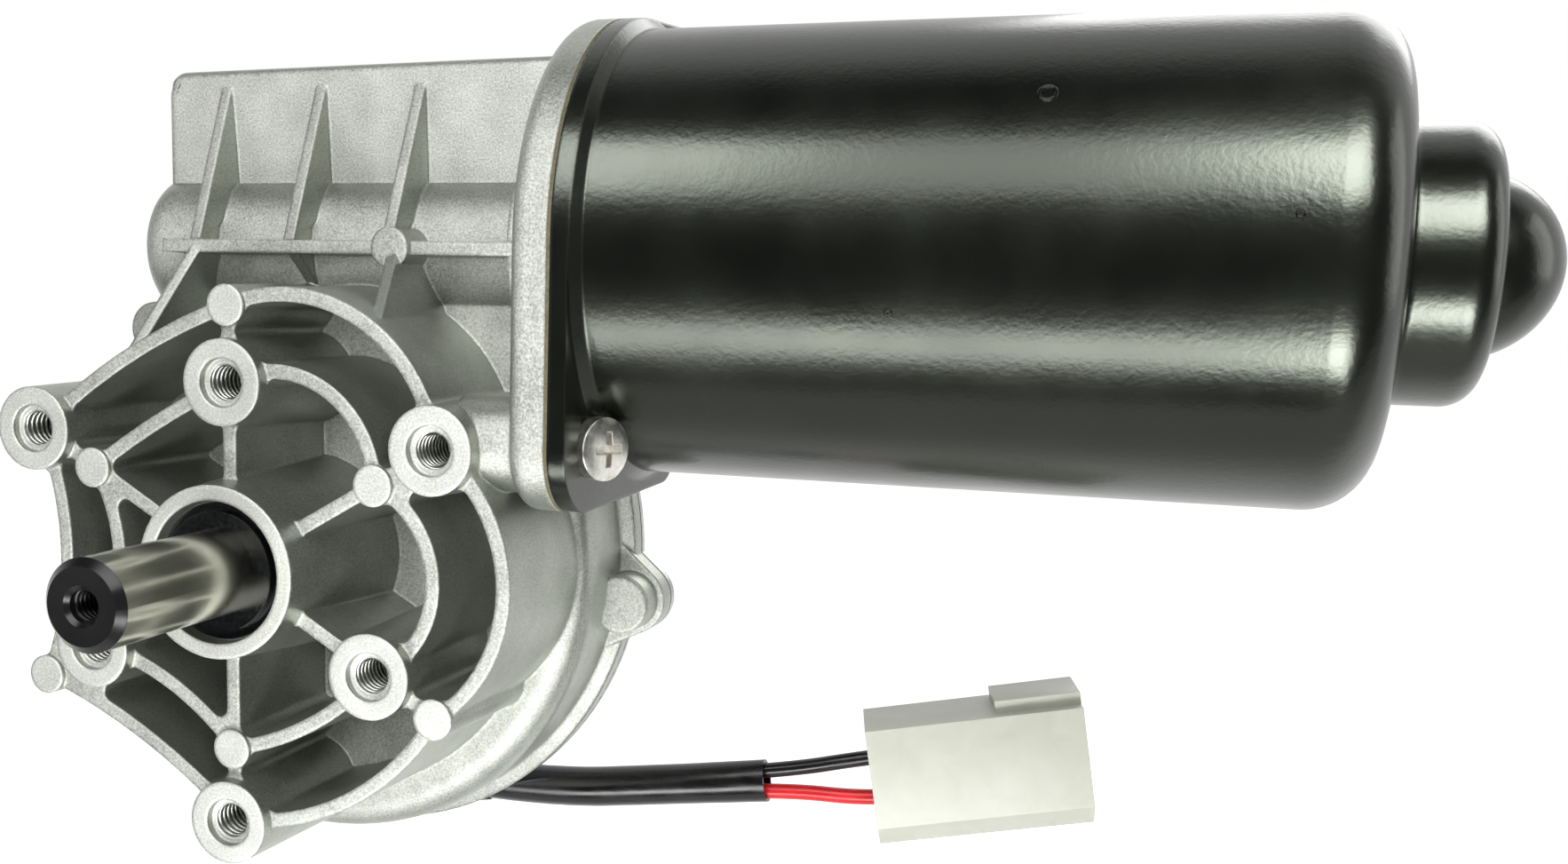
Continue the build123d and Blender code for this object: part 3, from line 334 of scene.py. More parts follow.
seen = addNode(tree, "ShaderNodeBackground", {0: backdrop.outputs[2], 1: 1.0})
sky = addNode(tree, "ShaderNodeBackground", {0: linearColour(studio["skyColour"]), 1: studio["skyStrength"]})
mixed = addNode(tree, "ShaderNodeMixShader", {0: seenDirectly(tree), 1: sky, 2: seen})
addNode(tree, "ShaderNodeOutputWorld", {"Surface": mixed})
scene.view_settings.view_transform = "Standard"
print("studio lit with", len(lamps), "lamps")

# Die-cast aluminium, shot-blasted: the faces turned to the front are painted bright and grainy as painted light,
# the walls painted greyer as painted shade and left smoother, and every edge is softly rounded
casting = {
    "blasted": ("#93958F", "#D2D4CD"),  # the two tones of each kind of face
    "faced": ("#B0B2AC", "#DEE0DA"),
    # the walls' tones, darker as painted shade
    "skin": ("#8C9088", "#B6BAB0"),
    "toneRange": (0.45, 0.9),
    "frontFacing": (-0.6, -0.97),  # Y of the normal, from the painted shade of the walls to the painted light of the front faces
    "facedReach": 41.0,  # mm, the motor flange isn't faced
    "facedDepth": (1.25, 1.6),  # mm, bosses and pads stand in front of the ribs
    "grain": 0.3,  # mm between specks
    "cloud": 6.0,  # mm, slow colour change
    "cloudShare": 0.35,
    "grit": 0.3,  # mm
    "gritDepth": 0.04,  # mm
    "rough": (0.34, 0.48),
    "frontRougher": 0.16,
    "metallic": 0.85,
    "edge": 0.8,  # mm rounding
}
noiseSpan = {1: 0.3, 2: 0.7}  # From Min and From Max of a Map Range: most of a noise lies between them
castAluminium, tree, place = newMaterial("castAluminiumShotBlasted")
normalAxes = addNode(tree, "ShaderNodeSeparateXYZ", {0: place["Normal"]})
# Painted light and shade: the more a face turns to the front, the brighter its tone; walls get the darker tones
front = addNode(tree, "ShaderNodeMapRange", {0: normalAxes.outputs["Y"], 1: casting["frontFacing"][0],
                                             2: casting["frontFacing"][1], 3: 0.0, 4: 1.0},
                interpolation_type="SMOOTHSTEP")
speck = addNode(tree, "ShaderNodeTexNoise", {"Vector": place["Object"], "Scale": 1 / (casting["grain"] * mm),
                                             "Detail": 2.0, "Roughness": 0.6})
cloud = addNode(tree, "ShaderNodeTexNoise", {"Vector": place["Object"], "Scale": 1 / (casting["cloud"] * mm),
                                             "Detail": 3.0})
tone = addNode(tree, "ShaderNodeMath", {0: cloud, 1: casting["cloudShare"], 2: speck}, operation="MULTIPLY_ADD")
spread = addNode(tree, "ShaderNodeMapRange", {0: tone, 1: casting["toneRange"][0], 2: casting["toneRange"][1],
                                              3: 0.0, 4: 1.0})
mixedTones = {}
for kind in ("blasted", "faced", "skin"):
    low, high = (linearColour(tone) for tone in casting[kind])
    mixedTones[kind] = addNode(tree, "ShaderNodeMix", {0: spread, 6: low, 7: high},
                               data_type="RGBA").outputs[2]
placeAxes = addNode(tree, "ShaderNodeSeparateXYZ", {0: place["Object"]})
ahead = addNode(tree, "ShaderNodeMapRange", {0: placeAxes.outputs["Y"], 1: casting["facedDepth"][0] * mm,
                                             2: casting["facedDepth"][1] * mm, 3: 1.0, 4: 0.0})
beforeFlange = addNode(tree, "ShaderNodeMath", {0: placeAxes.outputs["X"], 1: casting["facedReach"] * mm},
                       operation="LESS_THAN")
isFaced = addNode(tree, "ShaderNodeMath", {0: ahead, 1: beforeFlange}, operation="MULTIPLY")
fronts = addNode(tree, "ShaderNodeMix", {0: isFaced, 6: mixedTones["blasted"], 7: mixedTones["faced"]},
                 data_type="RGBA")
# Painted shade on the walls, painted light on the front faces
colour = addNode(tree, "ShaderNodeMix", {0: front, 6: mixedTones["skin"], 7: fronts.outputs[2]},
                 data_type="RGBA")
skinRough = addNode(tree, "ShaderNodeMapRange", {0: speck, **noiseSpan, 3: casting["rough"][0],
                                                 4: casting["rough"][1]})
rough = addNode(tree, "ShaderNodeMath", {0: front, 1: casting["frontRougher"], 2: skinRough},
                operation="MULTIPLY_ADD")
grit = addNode(tree, "ShaderNodeTexNoise", {"Vector": place["Object"], "Scale": 1 / (casting["grit"] * mm),
                                            "Detail": 2.0})
rounded = addNode(tree, "ShaderNodeBevel", {"Radius": casting["edge"] * mm}, samples=8)
bumped = addNode(tree, "ShaderNodeBump", {"Height": grit, "Distance": casting["gritDepth"] * mm,
                                          "Strength": 0.8, "Normal": rounded})
closeMaterial(tree, {"Base Color": colour.outputs[2], "Metallic": casting["metallic"], "Roughness": rough,
                     "Normal": bumped})

# Black enamel sprayed on drawn steel: semi-gloss, with a fine orange peel that breaks up the highlights
enamel = {
    "tones": ("#020302", "#070906"),
    "haze": 14.0,  # mm, slow change of tone and gloss
    "peel": 0.9,  # mm between waves
    "peelDepth": 0.025,  # mm
    "dust": 0.45,  # mm between specks
    "dustDepth": 0.008,  # mm
    "rough": (0.2, 0.28),
    "ior": 1.5,
    "tint": "#F6FFEE",
    "edge": 0.5,  # mm rounding
}
blackEnamel, tree, place = newMaterial("blackEnamelSprayed")
peel = addNode(tree, "ShaderNodeTexNoise", {"Vector": place["Object"], "Scale": 1 / (enamel["peel"] * mm),
                                            "Detail": 2.0, "Roughness": 0.5})
dust = addNode(tree, "ShaderNodeTexNoise", {"Vector": place["Object"], "Scale": 1 / (enamel["dust"] * mm),
                                            "Detail": 2.0})
haze = addNode(tree, "ShaderNodeTexNoise", {"Vector": place["Object"], "Scale": 1 / (enamel["haze"] * mm),
                                            "Detail": 4.0})
rough = addNode(tree, "ShaderNodeMapRange", {0: haze, **noiseSpan, 3: enamel["rough"][0],
                                             4: enamel["rough"][1]})
low, high = (linearColour(tone) for tone in enamel["tones"])
colour = addNode(tree, "ShaderNodeMix", {0: haze, 6: low, 7: high}, data_type="RGBA")
roundedRim = addNode(tree, "ShaderNodeBevel", {"Radius": enamel["edge"] * mm}, samples=6)
wavy = addNode(tree, "ShaderNodeBump", {"Height": peel, "Distance": enamel["peelDepth"] * mm, "Strength": 0.8,
                                        "Normal": roundedRim})
dusty = addNode(tree, "ShaderNodeBump", {"Height": dust, "Distance": enamel["dustDepth"] * mm, "Strength": 0.6,
                                         "Normal": wavy})
closeMaterial(tree, {"Base Color": colour.outputs[2], "Roughness": rough, "IOR": enamel["ior"],
                     "Specular Tint": linearColour(enamel["tint"]), "Normal": dusty})

# Case-hardened steel, ground: satin with fine lines round it, its end face and chamfer left black oxide
shaftSteel = {
    "tones": ("#B4B2A6", "#C6C4B8"),
    "smudge": 5.0,  # mm
    "lines": 0.12,  # mm between grinding lines
    "stretch": (0.04, 1.0, 0.04),
    "lineDepth": 0.001,  # mm
    "rough": (0.2, 0.26),
    "oxide": "#1B1B1C",
    "oxideFrom": -28.9,  # mm, Y where the black end begins
    "oxideMetallic": 0.3,
}
groundSteel, tree, place = newMaterial("groundSteelBlackEnd")
stretched = addNode(tree, "ShaderNodeMapping", {"Vector": place["Object"], "Scale": shaftSteel["stretch"]})
lines = addNode(tree, "ShaderNodeTexNoise", {"Vector": stretched, "Scale": 1 / (shaftSteel["lines"] * mm),
                                             "Detail": 3.0})
smudge = addNode(tree, "ShaderNodeTexNoise", {"Vector": place["Object"],
                                              "Scale": 1 / (shaftSteel["smudge"] * mm), "Detail": 2.0})
axes = addNode(tree, "ShaderNodeSeparateXYZ", {0: place["Object"]})
oxide = addNode(tree, "ShaderNodeMath", {0: axes.outputs["Y"], 1: shaftSteel["oxideFrom"] * mm},
                operation="LESS_THAN")
low, high = (linearColour(tone) for tone in shaftSteel["tones"])
steel = addNode(tree, "ShaderNodeMix", {0: smudge, 6: low, 7: high}, data_type="RGBA")
colour = addNode(tree, "ShaderNodeMix", {0: oxide, 6: steel.outputs[2], 7: linearColour(shaftSteel["oxide"])},
                 data_type="RGBA")
metal = addNode(tree, "ShaderNodeMapRange", {0: oxide, 3: 1.0, 4: shaftSteel["oxideMetallic"]})
rough = addNode(tree, "ShaderNodeMapRange", {0: lines, **noiseSpan, 3: shaftSteel["rough"][0],
                                             4: shaftSteel["rough"][1]})
ground = addNode(tree, "ShaderNodeBump", {"Height": lines, "Distance": shaftSteel["lineDepth"] * mm,
                                          "Strength": 0.5})
closeMaterial(tree, {"Base Color": colour.outputs[2], "Metallic": metal, "Roughness": rough, "Normal": ground})

# Natural nylon 6, injection-moulded: milky and a little see-through, with faint flow clouds
nylon = {
    "tones": ("#B1B3A5", "#C3C5B9"),
    "flow": 5.0,  # mm between clouds
    "speckle": 0.5,  # mm
    "speckleDepth": 0.01,  # mm
    "rough": 0.38,
    "ior": 1.53,
    "milky": 0.35,  # share of the light that goes in
    "milkyColour": (1.0, 1.0, 0.85),
    "milkyReach": 2.0,  # mm
}
naturalNylon, tree, place = newMaterial("naturalNylonMoulded")
flow = addNode(tree, "ShaderNodeTexNoise", {"Vector": place["Object"], "Scale": 1 / (nylon["flow"] * mm),
                                            "Detail": 3.0, "Distortion": 0.8})
low, high = (linearColour(tone) for tone in nylon["tones"])
colour = addNode(tree, "ShaderNodeMix", {0: flow, 6: low, 7: high}, data_type="RGBA")
speckle = addNode(tree, "ShaderNodeTexNoise", {"Vector": place["Object"], "Scale": 1 / (nylon["speckle"] * mm)})
matt = addNode(tree, "ShaderNodeBump", {"Height": speckle, "Distance": nylon["speckleDepth"] * mm,
                                        "Strength": 0.5})
closeMaterial(tree, {"Base Color": colour.outputs[2], "Roughness": nylon["rough"], "IOR": nylon["ior"],
                     "Subsurface Weight": nylon["milky"], "Subsurface Radius": nylon["milkyColour"],
                     "Subsurface Scale": nylon["milkyReach"] * mm, "Normal": matt})

# The other finishes share one build: two tones and a bump of one grain, stretched where it was drawn or turned.
# Grain, relief and edge are in mm; the grain of the metals is coarser than life, so that it shows.
finishes = {
    # Zinc-plated steel, barrel-plated: bright, slightly yellow, with small dull patches
    "zincPlated": {"tones": ("#CFCDC4", "#EFEDE6"), "grain": 0.8, "relief": 0.004, "metallic": 1.0,
                   "rough": (0.3, 0.42), "edge": 0.25},
    # Galvanised sheet, pressed: greyer, drawn marks along it
    "galvanisedSheet": {"tones": ("#9FA3A3", "#C9CCCB"), "grain": 1.6, "relief": 0.01, "metallic": 1.0,
                        "rough": (0.3, 0.45)},
    # Spring steel, blackened: dark blue-black with an oily gloss
    "blackenedSteel": {"tones": ("#0E0F10", "#1C1E1F"), "grain": 0.6, "relief": 0.01, "metallic": 0.4,
                       "rough": (0.16, 0.28), "edge": 0.3},
    # Aluminium, thread-cut: bright fresh flanks
    "cutAluminium": {"tones": ("#C4C5C0", "#EDEEE9"), "grain": 0.3, "relief": 0.001, "metallic": 1.0,
                     "rough": (0.3, 0.4)},
    # Bearing steel, lapped: bright and even
    "bearingSteel": {"tones": ("#BDBDBB", "#D6D6D4"), "grain": 0.5, "relief": 0.003, "metallic": 1.0,
                     "rough": (0.1, 0.18)},
    # Tin bronze, sintered: dull brown-gold with open pores
    "sinteredBronze": {"tones": ("#7A5C33", "#A88350"), "grain": 0.25, "relief": 0.03, "metallic": 1.0,
                       "rough": (0.4, 0.6)},
    # Nitrile rubber, moulded: matt black
    "nitrileRubber": {"tones": ("#121212", "#1D1D1C"), "grain": 0.4, "relief": 0.02, "metallic": 0.0,
                      "rough": (0.5, 0.65)},
    # Gasket paper, punched: oil-darkened fibres
    "gasketPaper": {"tones": ("#57523F", "#756E57"), "grain": 0.4, "relief": 0.04, "metallic": 0.0,
                    "rough": (0.75, 0.9)},
    # Polyacetal gear, moulded: off-white, waxy
    "polyacetal": {"tones": ("#D9D6C8", "#E8E5DA"), "grain": 2.0, "relief": 0.01, "metallic": 0.0,
                   "rough": (0.3, 0.42)},
    # Glass-filled nylon, moulded black: satin with a dry grain
    "blackNylon": {"tones": ("#131414", "#222323"), "grain": 0.3, "relief": 0.02, "metallic": 0.0,
                   "rough": (0.4, 0.55)},
    # Ferrite magnet, pressed and ground: dark grey ceramic
    "ferrite": {"tones": ("#262729", "#3A3B3D"), "grain": 0.4, "relief": 0.02, "metallic": 0.0,
                "rough": (0.45, 0.6)},
    # Electrical steel, stamped sheets: the stack shows as fine lines across the shaft
    "laminatedSteel": {"tones": ("#55585A", "#8B8E90"), "grain": 0.5, "relief": 0.06, "metallic": 1.0,
                       "rough": (0.3, 0.5), "stretch": (1.0, 0.02, 0.02)},
    # Enamelled copper wire, wound: orange-brown lacquered turns lying along the core
    "enamelledCopper": {"tones": ("#8A3F1C", "#C4703A"), "grain": 0.7, "relief": 0.2, "metallic": 0.8,
                        "rough": (0.2, 0.35), "stretch": (0.05, 1.0, 1.0)},
    # Hard copper, turned: fine lines round the commutator
    "turnedCopper": {"tones": ("#A85F38", "#CB7F54"), "grain": 0.2, "relief": 0.01, "metallic": 1.0,
                     "rough": (0.25, 0.4), "stretch": (1.0, 0.03, 0.03)},
    # Brass strip, rolled: yellow with lines along it
    "rolledBrass": {"tones": ("#A98B45", "#D3B567"), "grain": 0.3, "relief": 0.01, "metallic": 1.0,
                    "rough": (0.22, 0.36), "stretch": (0.05, 1.0, 1.0)},
    # Copper-graphite, pressed: soft matt black with metal specks
    "copperGraphite": {"tones": ("#1C1B1A", "#3B322C"), "grain": 0.2, "relief": 0.02, "metallic": 0.2,
                       "rough": (0.5, 0.65)},
    # Soft PVC, extruded black: glossy, with faint lengthwise waves
    "blackPvc": {"tones": ("#0B0B0B", "#161616"), "grain": 1.2, "relief": 0.03, "metallic": 0.0,
                 "rough": (0.2, 0.32), "stretch": (0.2, 1.0, 1.0)},
    # Soft PVC, extruded red
    "redPvc": {"tones": ("#C2151C", "#D9252B"), "grain": 1.2, "relief": 0.01, "metallic": 0.0,
               "rough": (0.26, 0.36), "stretch": (0.2, 1.0, 1.0)},
}
made = {"castAluminium": castAluminium, "blackEnamel": blackEnamel, "groundSteel": groundSteel,
        "naturalNylon": naturalNylon}
for name, finish in finishes.items():
    made[name], tree, place = newMaterial(name)
    stretched = addNode(tree, "ShaderNodeMapping", {"Vector": place["Object"],
                                                    "Scale": finish.get("stretch", (1.0, 1.0, 1.0))})
    grain = addNode(tree, "ShaderNodeTexNoise", {"Vector": stretched, "Scale": 1 / (finish["grain"] * mm),
                                                 "Detail": 3.0})
    low, high = (linearColour(tone) for tone in finish["tones"])
    spread = addNode(tree, "ShaderNodeMapRange", {0: grain, **noiseSpan, 3: 0.0, 4: 1.0})
    colour = addNode(tree, "ShaderNodeMix", {0: spread, 6: low, 7: high}, data_type="RGBA")
    rough = addNode(tree, "ShaderNodeMapRange", {0: grain, **noiseSpan, 3: finish["rough"][0],
                                                 4: finish["rough"][1]})
    relief = addNode(tree, "ShaderNodeBump", {"Height": grain, "Distance": finish["relief"] * mm,
                                              "Strength": 0.8})
    if "edge" in finish:
        roundedEdge = addNode(tree, "ShaderNodeBevel", {"Radius": finish["edge"] * mm}, samples=4)
        tree.links.new(roundedEdge.outputs[0], relief.inputs["Normal"])
    closeMaterial(tree, {"Base Color": colour.outputs[2], "Metallic": finish["metallic"], "Roughness": rough,
                         "Normal": relief})

dressing = {
    "castAluminium": ["gearbox_housing"],
    "blackEnamel": ["motor_can"],
    "groundSteel": ["output_shaft", "armature_shaft", "wheel_hub"],
    "naturalNylon": ["connector_housing"],
    "zincPlated": ["cover_screws", "motor_screws", "spring_washers", "rear_washer"],
    "galvanisedSheet": ["rear_cover"],
    "blackenedSteel": ["retaining_ring", "front_washer", "magnet_springs", "bush_clip", "brush_spring_top",
                       "brush_spring_bottom"],
    "bearingSteel": ["thrust_pad", "bearing_outer_ring", "bearing_inner_ring", "bearing_balls"],
    "sinteredBronze": ["front_bush", "rear_bush", "worm_end_bush", "tail_bush"],
    "nitrileRubber": ["shaft_seal", "cable_grommet"],
    "gasketPaper": ["cover_gasket", "flange_gasket"],
    "polyacetal": ["worm_wheel"],
    "blackNylon": ["tail_button", "brush_plate"],
    "ferrite": ["field_magnets"],
    "laminatedSteel": ["armature_core"],
    "enamelledCopper": ["armature_windings"],
    "turnedCopper": ["commutator"],
    "rolledBrass": ["brush_tubes", "connector_tabs"],
    "copperGraphite": ["brush_top", "brush_bottom"],
    "blackPvc": ["lead_sleeve", "black_wire"],
    "redPvc": ["red_wire"],
}
for finish, names in dressing.items():
    for name in names:
        for materialSlot in nodes[name].material_slots:
            materialSlot.material = made[finish]
print("finishes:", len(made), "materials on", sum(len(names) for names in dressing.values()), "nodes")

for piece, finish in ((sleeve, "blackPvc"), (blackWire, "blackPvc"), (redWire, "redPvc")):
    piece.data.materials.append(made[finish])


def newTree(name, sizes):
    # A node tree with named number inputs, a material input and the geometry that it starts from
    tree = bpy.data.node_groups.new(name, "GeometryNodeTree")
    tree.interface.new_socket(name="Geometry", in_out="INPUT", socket_type="NodeSocketGeometry")
    for size in sizes:
        tree.interface.new_socket(name=size, in_out="INPUT", socket_type="NodeSocketFloat")
    tree.interface.new_socket(name="Material", in_out="INPUT", socket_type="NodeSocketMaterial")
    tree.interface.new_socket(name="Geometry", in_out="OUTPUT", socket_type="NodeSocketGeometry")
    return tree, addNode(tree, "NodeGroupInput").outputs


def closeTree(tree, geometry, given):
    whole = addNode(tree, "GeometryNodeRealizeInstances", {"Geometry": geometry})
    dressed = addNode(tree, "GeometryNodeSetMaterial", {"Geometry": whole, "Material": given["Material"]})
    addNode(tree, "NodeGroupOutput", {0: dressed})


def growPieces(name, tree, places, values, material):
    points = bpy.data.meshes.new(name + "Points")
    points.from_pydata([[p * mm for p in place] for place in places], [], [])
    holder = addObject(name + "Holder", points)
    modifier = holder.modifiers.new(name, "NODES")
    modifier.node_group = tree
    for item in tree.interface.items_tree:
        if item.in_out == "INPUT" and item.name in values:
            modifier[item.identifier] = float(values[item.name])
        elif item.in_out == "INPUT" and item.name == "Material":
            modifier[item.identifier] = material
    return toPlainMesh(holder, name)


# Cut threads: a ridge of the real pitch wound inside each tapped hole
tree, given = newTree("insideThread", ["Pitch", "Turns", "Radius", "Ridge"])
height = addNode(tree, "ShaderNodeMath", {0: given["Pitch"], 1: given["Turns"]}, operation="MULTIPLY")
spiral = addNode(tree, "GeometryNodeCurveSpiral", {"Resolution": 40, "Rotations": given["Turns"],
                                                   "Start Radius": given["Radius"],
                                                   "End Radius": given["Radius"], "Height": height})
upright = addNode(tree, "GeometryNodeSetCurveNormal", {"Curve": spiral}, mode="Z_UP")
ridge = addNode(tree, "GeometryNodeCurvePrimitiveCircle", {"Resolution": 4, "Radius": given["Ridge"]})
wound = addNode(tree, "GeometryNodeCurveToMesh", {"Curve": upright, "Profile Curve": ridge, "Fill Caps": True})
lying = addNode(tree, "GeometryNodeTransform", {"Geometry": wound, "Rotation": (math.radians(-90), 0, 0)})
copies = addNode(tree, "GeometryNodeInstanceOnPoints", {"Points": given["Geometry"], "Instance": lying})
closeTree(tree, copies, given)


def onCircle(radius, angle, depth):
    # A place round the output shaft's axis, in mm, the angle in degrees as seen from the front
    turn = math.radians(angle)
    return radius * math.cos(turn), depth, radius * math.sin(turn)


bossThread = {"Pitch": 1.0 * mm, "Turns": 12, "Radius": 2.56 * mm, "Ridge": 0.34 * mm}
bossCircles = {26.0: (90, -30, 210), 36.5: (30, -90, 150)}  # mm and degrees
bossThreadStart = 1.4  # mm, Y of the first turn
bossPlaces = [onCircle(radius, angle, bossThreadStart)
              for radius, angles in bossCircles.items() for angle in angles]
bossThreads = growPieces("bossThreads", tree, bossPlaces, bossThread, made["cutAluminium"])
shaftThread = {"Pitch": 0.8 * mm, "Turns": 13, "Radius": 2.14 * mm, "Ridge": 0.36 * mm}
shaftThreadStart = -28.6
shaftThreads = growPieces("shaftEndThread", tree, [(0, shaftThreadStart, 0)], shaftThread,
                          made["blackenedSteel"])
putInPlace(bossThreads, "housing", "cast_aluminium")
putInPlace(shaftThreads, "output", "ground_steel")
print("threads cut")

# Pan-head screws with a cross recess, instanced head outwards
tree, given = newTree("panHeadScrew", ["HeadRadius", "HeadHeight", "Dome", "ShankRadius", "ShankLength",
                                       "Recess", "RecessWidth", "RecessDepth", "TurnX", "TurnY", "TurnZ"])
head = addNode(tree, "GeometryNodeMeshCylinder", {"Vertices": 48, "Side Segments": 3, "Fill Segments": 8,
                                                  "Radius": given["HeadRadius"], "Depth": given["HeadHeight"]})
lifted = addNode(tree, "ShaderNodeMath", {0: given["HeadHeight"], 1: 0.5}, operation="MULTIPLY")
toSeat = addNode(tree, "ShaderNodeCombineXYZ", {2: lifted})
seated = addNode(tree, "GeometryNodeTransform", {"Geometry": head, "Translation": toSeat})
spot = addNode(tree, "GeometryNodeInputPosition")
spotAxes = addNode(tree, "ShaderNodeSeparateXYZ", {0: spot})
flat = addNode(tree, "ShaderNodeCombineXYZ", {0: spotAxes.outputs["X"], 1: spotAxes.outputs["Y"]})
away = addNode(tree, "ShaderNodeVectorMath", {0: flat}, operation="LENGTH")
share = addNode(tree, "ShaderNodeMath", {0: away.outputs["Value"], 1: given["HeadRadius"]}, operation="DIVIDE")
domePower = 3.2  # flat in the middle and steep at the rim
steep = addNode(tree, "ShaderNodeMath", {0: share, 1: domePower}, operation="POWER")
raised = addNode(tree, "ShaderNodeMath", {0: spotAxes.outputs["Z"], 1: given["HeadHeight"]}, operation="DIVIDE")
fall = addNode(tree, "ShaderNodeMath", {0: steep, 1: raised}, operation="MULTIPLY")
drop = addNode(tree, "ShaderNodeMath", {0: fall, 1: given["Dome"]}, operation="MULTIPLY")
down = addNode(tree, "ShaderNodeMath", {0: drop, 1: -1.0}, operation="MULTIPLY")
offset = addNode(tree, "ShaderNodeCombineXYZ", {2: down})
domed = addNode(tree, "GeometryNodeSetPosition", {"Geometry": seated, "Offset": offset})
armSize = addNode(tree, "ShaderNodeCombineXYZ", {0: given["Recess"], 1: given["RecessWidth"],
                                                 2: given["RecessDepth"]})
arm = addNode(tree, "GeometryNodeMeshCube", {"Size": armSize})
otherArm = addNode(tree, "GeometryNodeTransform", {"Geometry": arm, "Rotation": (0, 0, math.radians(90))})
toTop = addNode(tree, "ShaderNodeCombineXYZ", {2: given["HeadHeight"]})
cutter = addNode(tree, "GeometryNodeMeshBoolean", operation="UNION", solver="EXACT")
for part in (arm, otherArm):
    tree.links.new(part.outputs[0], cutter.inputs["Mesh 2"])
cross = addNode(tree, "GeometryNodeTransform", {"Geometry": cutter, "Translation": toTop})
recessed = addNode(tree, "GeometryNodeMeshBoolean", {"Mesh 1": domed, "Mesh 2": cross}, operation="DIFFERENCE",
                   solver="EXACT")
shank = addNode(tree, "GeometryNodeMeshCylinder", {"Vertices": 32, "Radius": given["ShankRadius"],
                                                   "Depth": given["ShankLength"]})
below = addNode(tree, "ShaderNodeMath", {0: given["ShankLength"], 1: -0.5}, operation="MULTIPLY")
underHead = addNode(tree, "ShaderNodeCombineXYZ", {2: below})
hung = addNode(tree, "GeometryNodeTransform", {"Geometry": shank, "Translation": underHead})
screwShape = addNode(tree, "GeometryNodeJoinGeometry")
for part in (recessed, hung):
    tree.links.new(part.outputs[0], screwShape.inputs[0])
turned = addNode(tree, "ShaderNodeCombineXYZ", {0: given["TurnX"], 1: given["TurnY"], 2: given["TurnZ"]})
screws = addNode(tree, "GeometryNodeInstanceOnPoints", {"Points": given["Geometry"], "Instance": screwShape,
                                                        "Rotation": turned})
closeTree(tree, screws, given)

motorAxis = (33.0, 45.0)  # mm, Y and Z
motorScrew = {"HeadRadius": 4.2 * mm, "HeadHeight": 2.6 * mm, "Dome": 0.7 * mm, "ShankRadius": 2.05 * mm,
              "ShankLength": 16 * mm, "Recess": 4.6 * mm, "RecessWidth": 1.1 * mm, "RecessDepth": 3.2 * mm,
              "TurnX": math.radians(25), "TurnY": math.radians(90), "TurnZ": 0}
motorScrewSeat = 51.5  # mm, X under the heads
motorScrewOffset = (24.0, 26.0)  # mm from the motor's axis, in Y and Z
motorScrewPlaces = [(motorScrewSeat, motorAxis[0] + side * motorScrewOffset[0],
                     motorAxis[1] + side * motorScrewOffset[1]) for side in (-1, 1)]
motorScrews = growPieces("motorPanScrews", tree, motorScrewPlaces, motorScrew, made["zincPlated"])
bpy.data.collections["frontFillReach"].objects.link(motorScrews)

coverScrew = {"HeadRadius": 3.6 * mm, "HeadHeight": 2.4 * mm, "Dome": 1.0 * mm, "ShankRadius": 1.6 * mm,
              "ShankLength": 9 * mm, "Recess": 3.8 * mm, "RecessWidth": 0.9 * mm, "RecessDepth": 2.6 * mm,
              "TurnX": math.radians(-90), "TurnY": 0, "TurnZ": 0}
coverLugs = {"radius": 47.2, "screwSeat": 43.3, "capMiddle": 33.4,  # mm
             "angles": {"Right": -8, "Left": 137, "Low": 247}}
coverScrewPlaces = [onCircle(coverLugs["radius"], angle, coverLugs["screwSeat"])
                    for angle in coverLugs["angles"].values()]
coverScrews = growPieces("coverPanScrews", tree, coverScrewPlaces, coverScrew, made["zincPlated"])
for piece in (motorScrews, coverScrews):
    smoothBelow(piece.data, degrees=35)
print("screws placed")

# The casting once more, in mm: its gussets drafted, leaning and reaching up, its plate a little higher
gusset = {
    "middles": {-14.5: -1.7, 1.0: -0.9, 16.5: 0.0},  # where each stands, and how far its tip leans
    "halfWidth": 0.85,
    "foot": 45.95,
    "tip": 67.6,
    "crestFoot": 16.0,
    "footShare": 0.4,  # how much of the lean is there at the foot
    "taller": 1.6,
    "rootDraft": 0.55,
    "rootDepth": 0.4,  # behind the crest
    "rootHeight": 3.0,  # above the foot
    "near": 0.05,  # a corner this near still belongs to the gusset
    "span": (-0.005, 1.01),  # shares of the way from foot to tip that belong to it
    "tipFrom": 0.97,
}
plate = {
    "front": 27.0,
    "back": 31.5,
    "top": 71.0,
    "topEdge": 1.6,  # corners less than this below the top rise with it
    "ends": (-27.0, 42.0),
    "rise": (0.6, 1.5),  # at the plate's left end and at the flange
    "near": 0.1,
}


def castingMove(x, y, z):
    # How far a corner of the casting moves, in mm along X and Z
    upwards = (z - gusset["foot"]) / (gusset["tip"] - gusset["foot"])
    inSpan = gusset["span"][0] < upwards < gusset["span"][1]
    across = rise = 0.0
    onFront = gusset["crestFoot"] - gusset["near"] < y < plate["front"] + gusset["near"]
    for middle, lean in gusset["middles"].items():
        side = x - middle
        if abs(side) < gusset["halfWidth"] + gusset["near"] and inSpan and onFront:
            crest = gusset["crestFoot"] + (plate["front"] - gusset["crestFoot"]) * upwards
            across = lean * (gusset["footShare"] + (1 - gusset["footShare"]) * upwards)
            if y > crest + gusset["rootDepth"] and z > gusset["foot"] + gusset["rootHeight"]:
                across += math.copysign(gusset["rootDraft"], side)
            if upwards > gusset["tipFrom"]:
                rise = gusset["taller"]
    near = plate["near"]
    left, right = plate["ends"]
    onPlate = plate["front"] - near < y < plate["back"] + near and left - near < x < right + near
    if onPlate and z > plate["top"] - plate["topEdge"]:
        low, high = plate["rise"]
        rise = low + (high - low) * (x - left) / (right - left)
    return across, rise


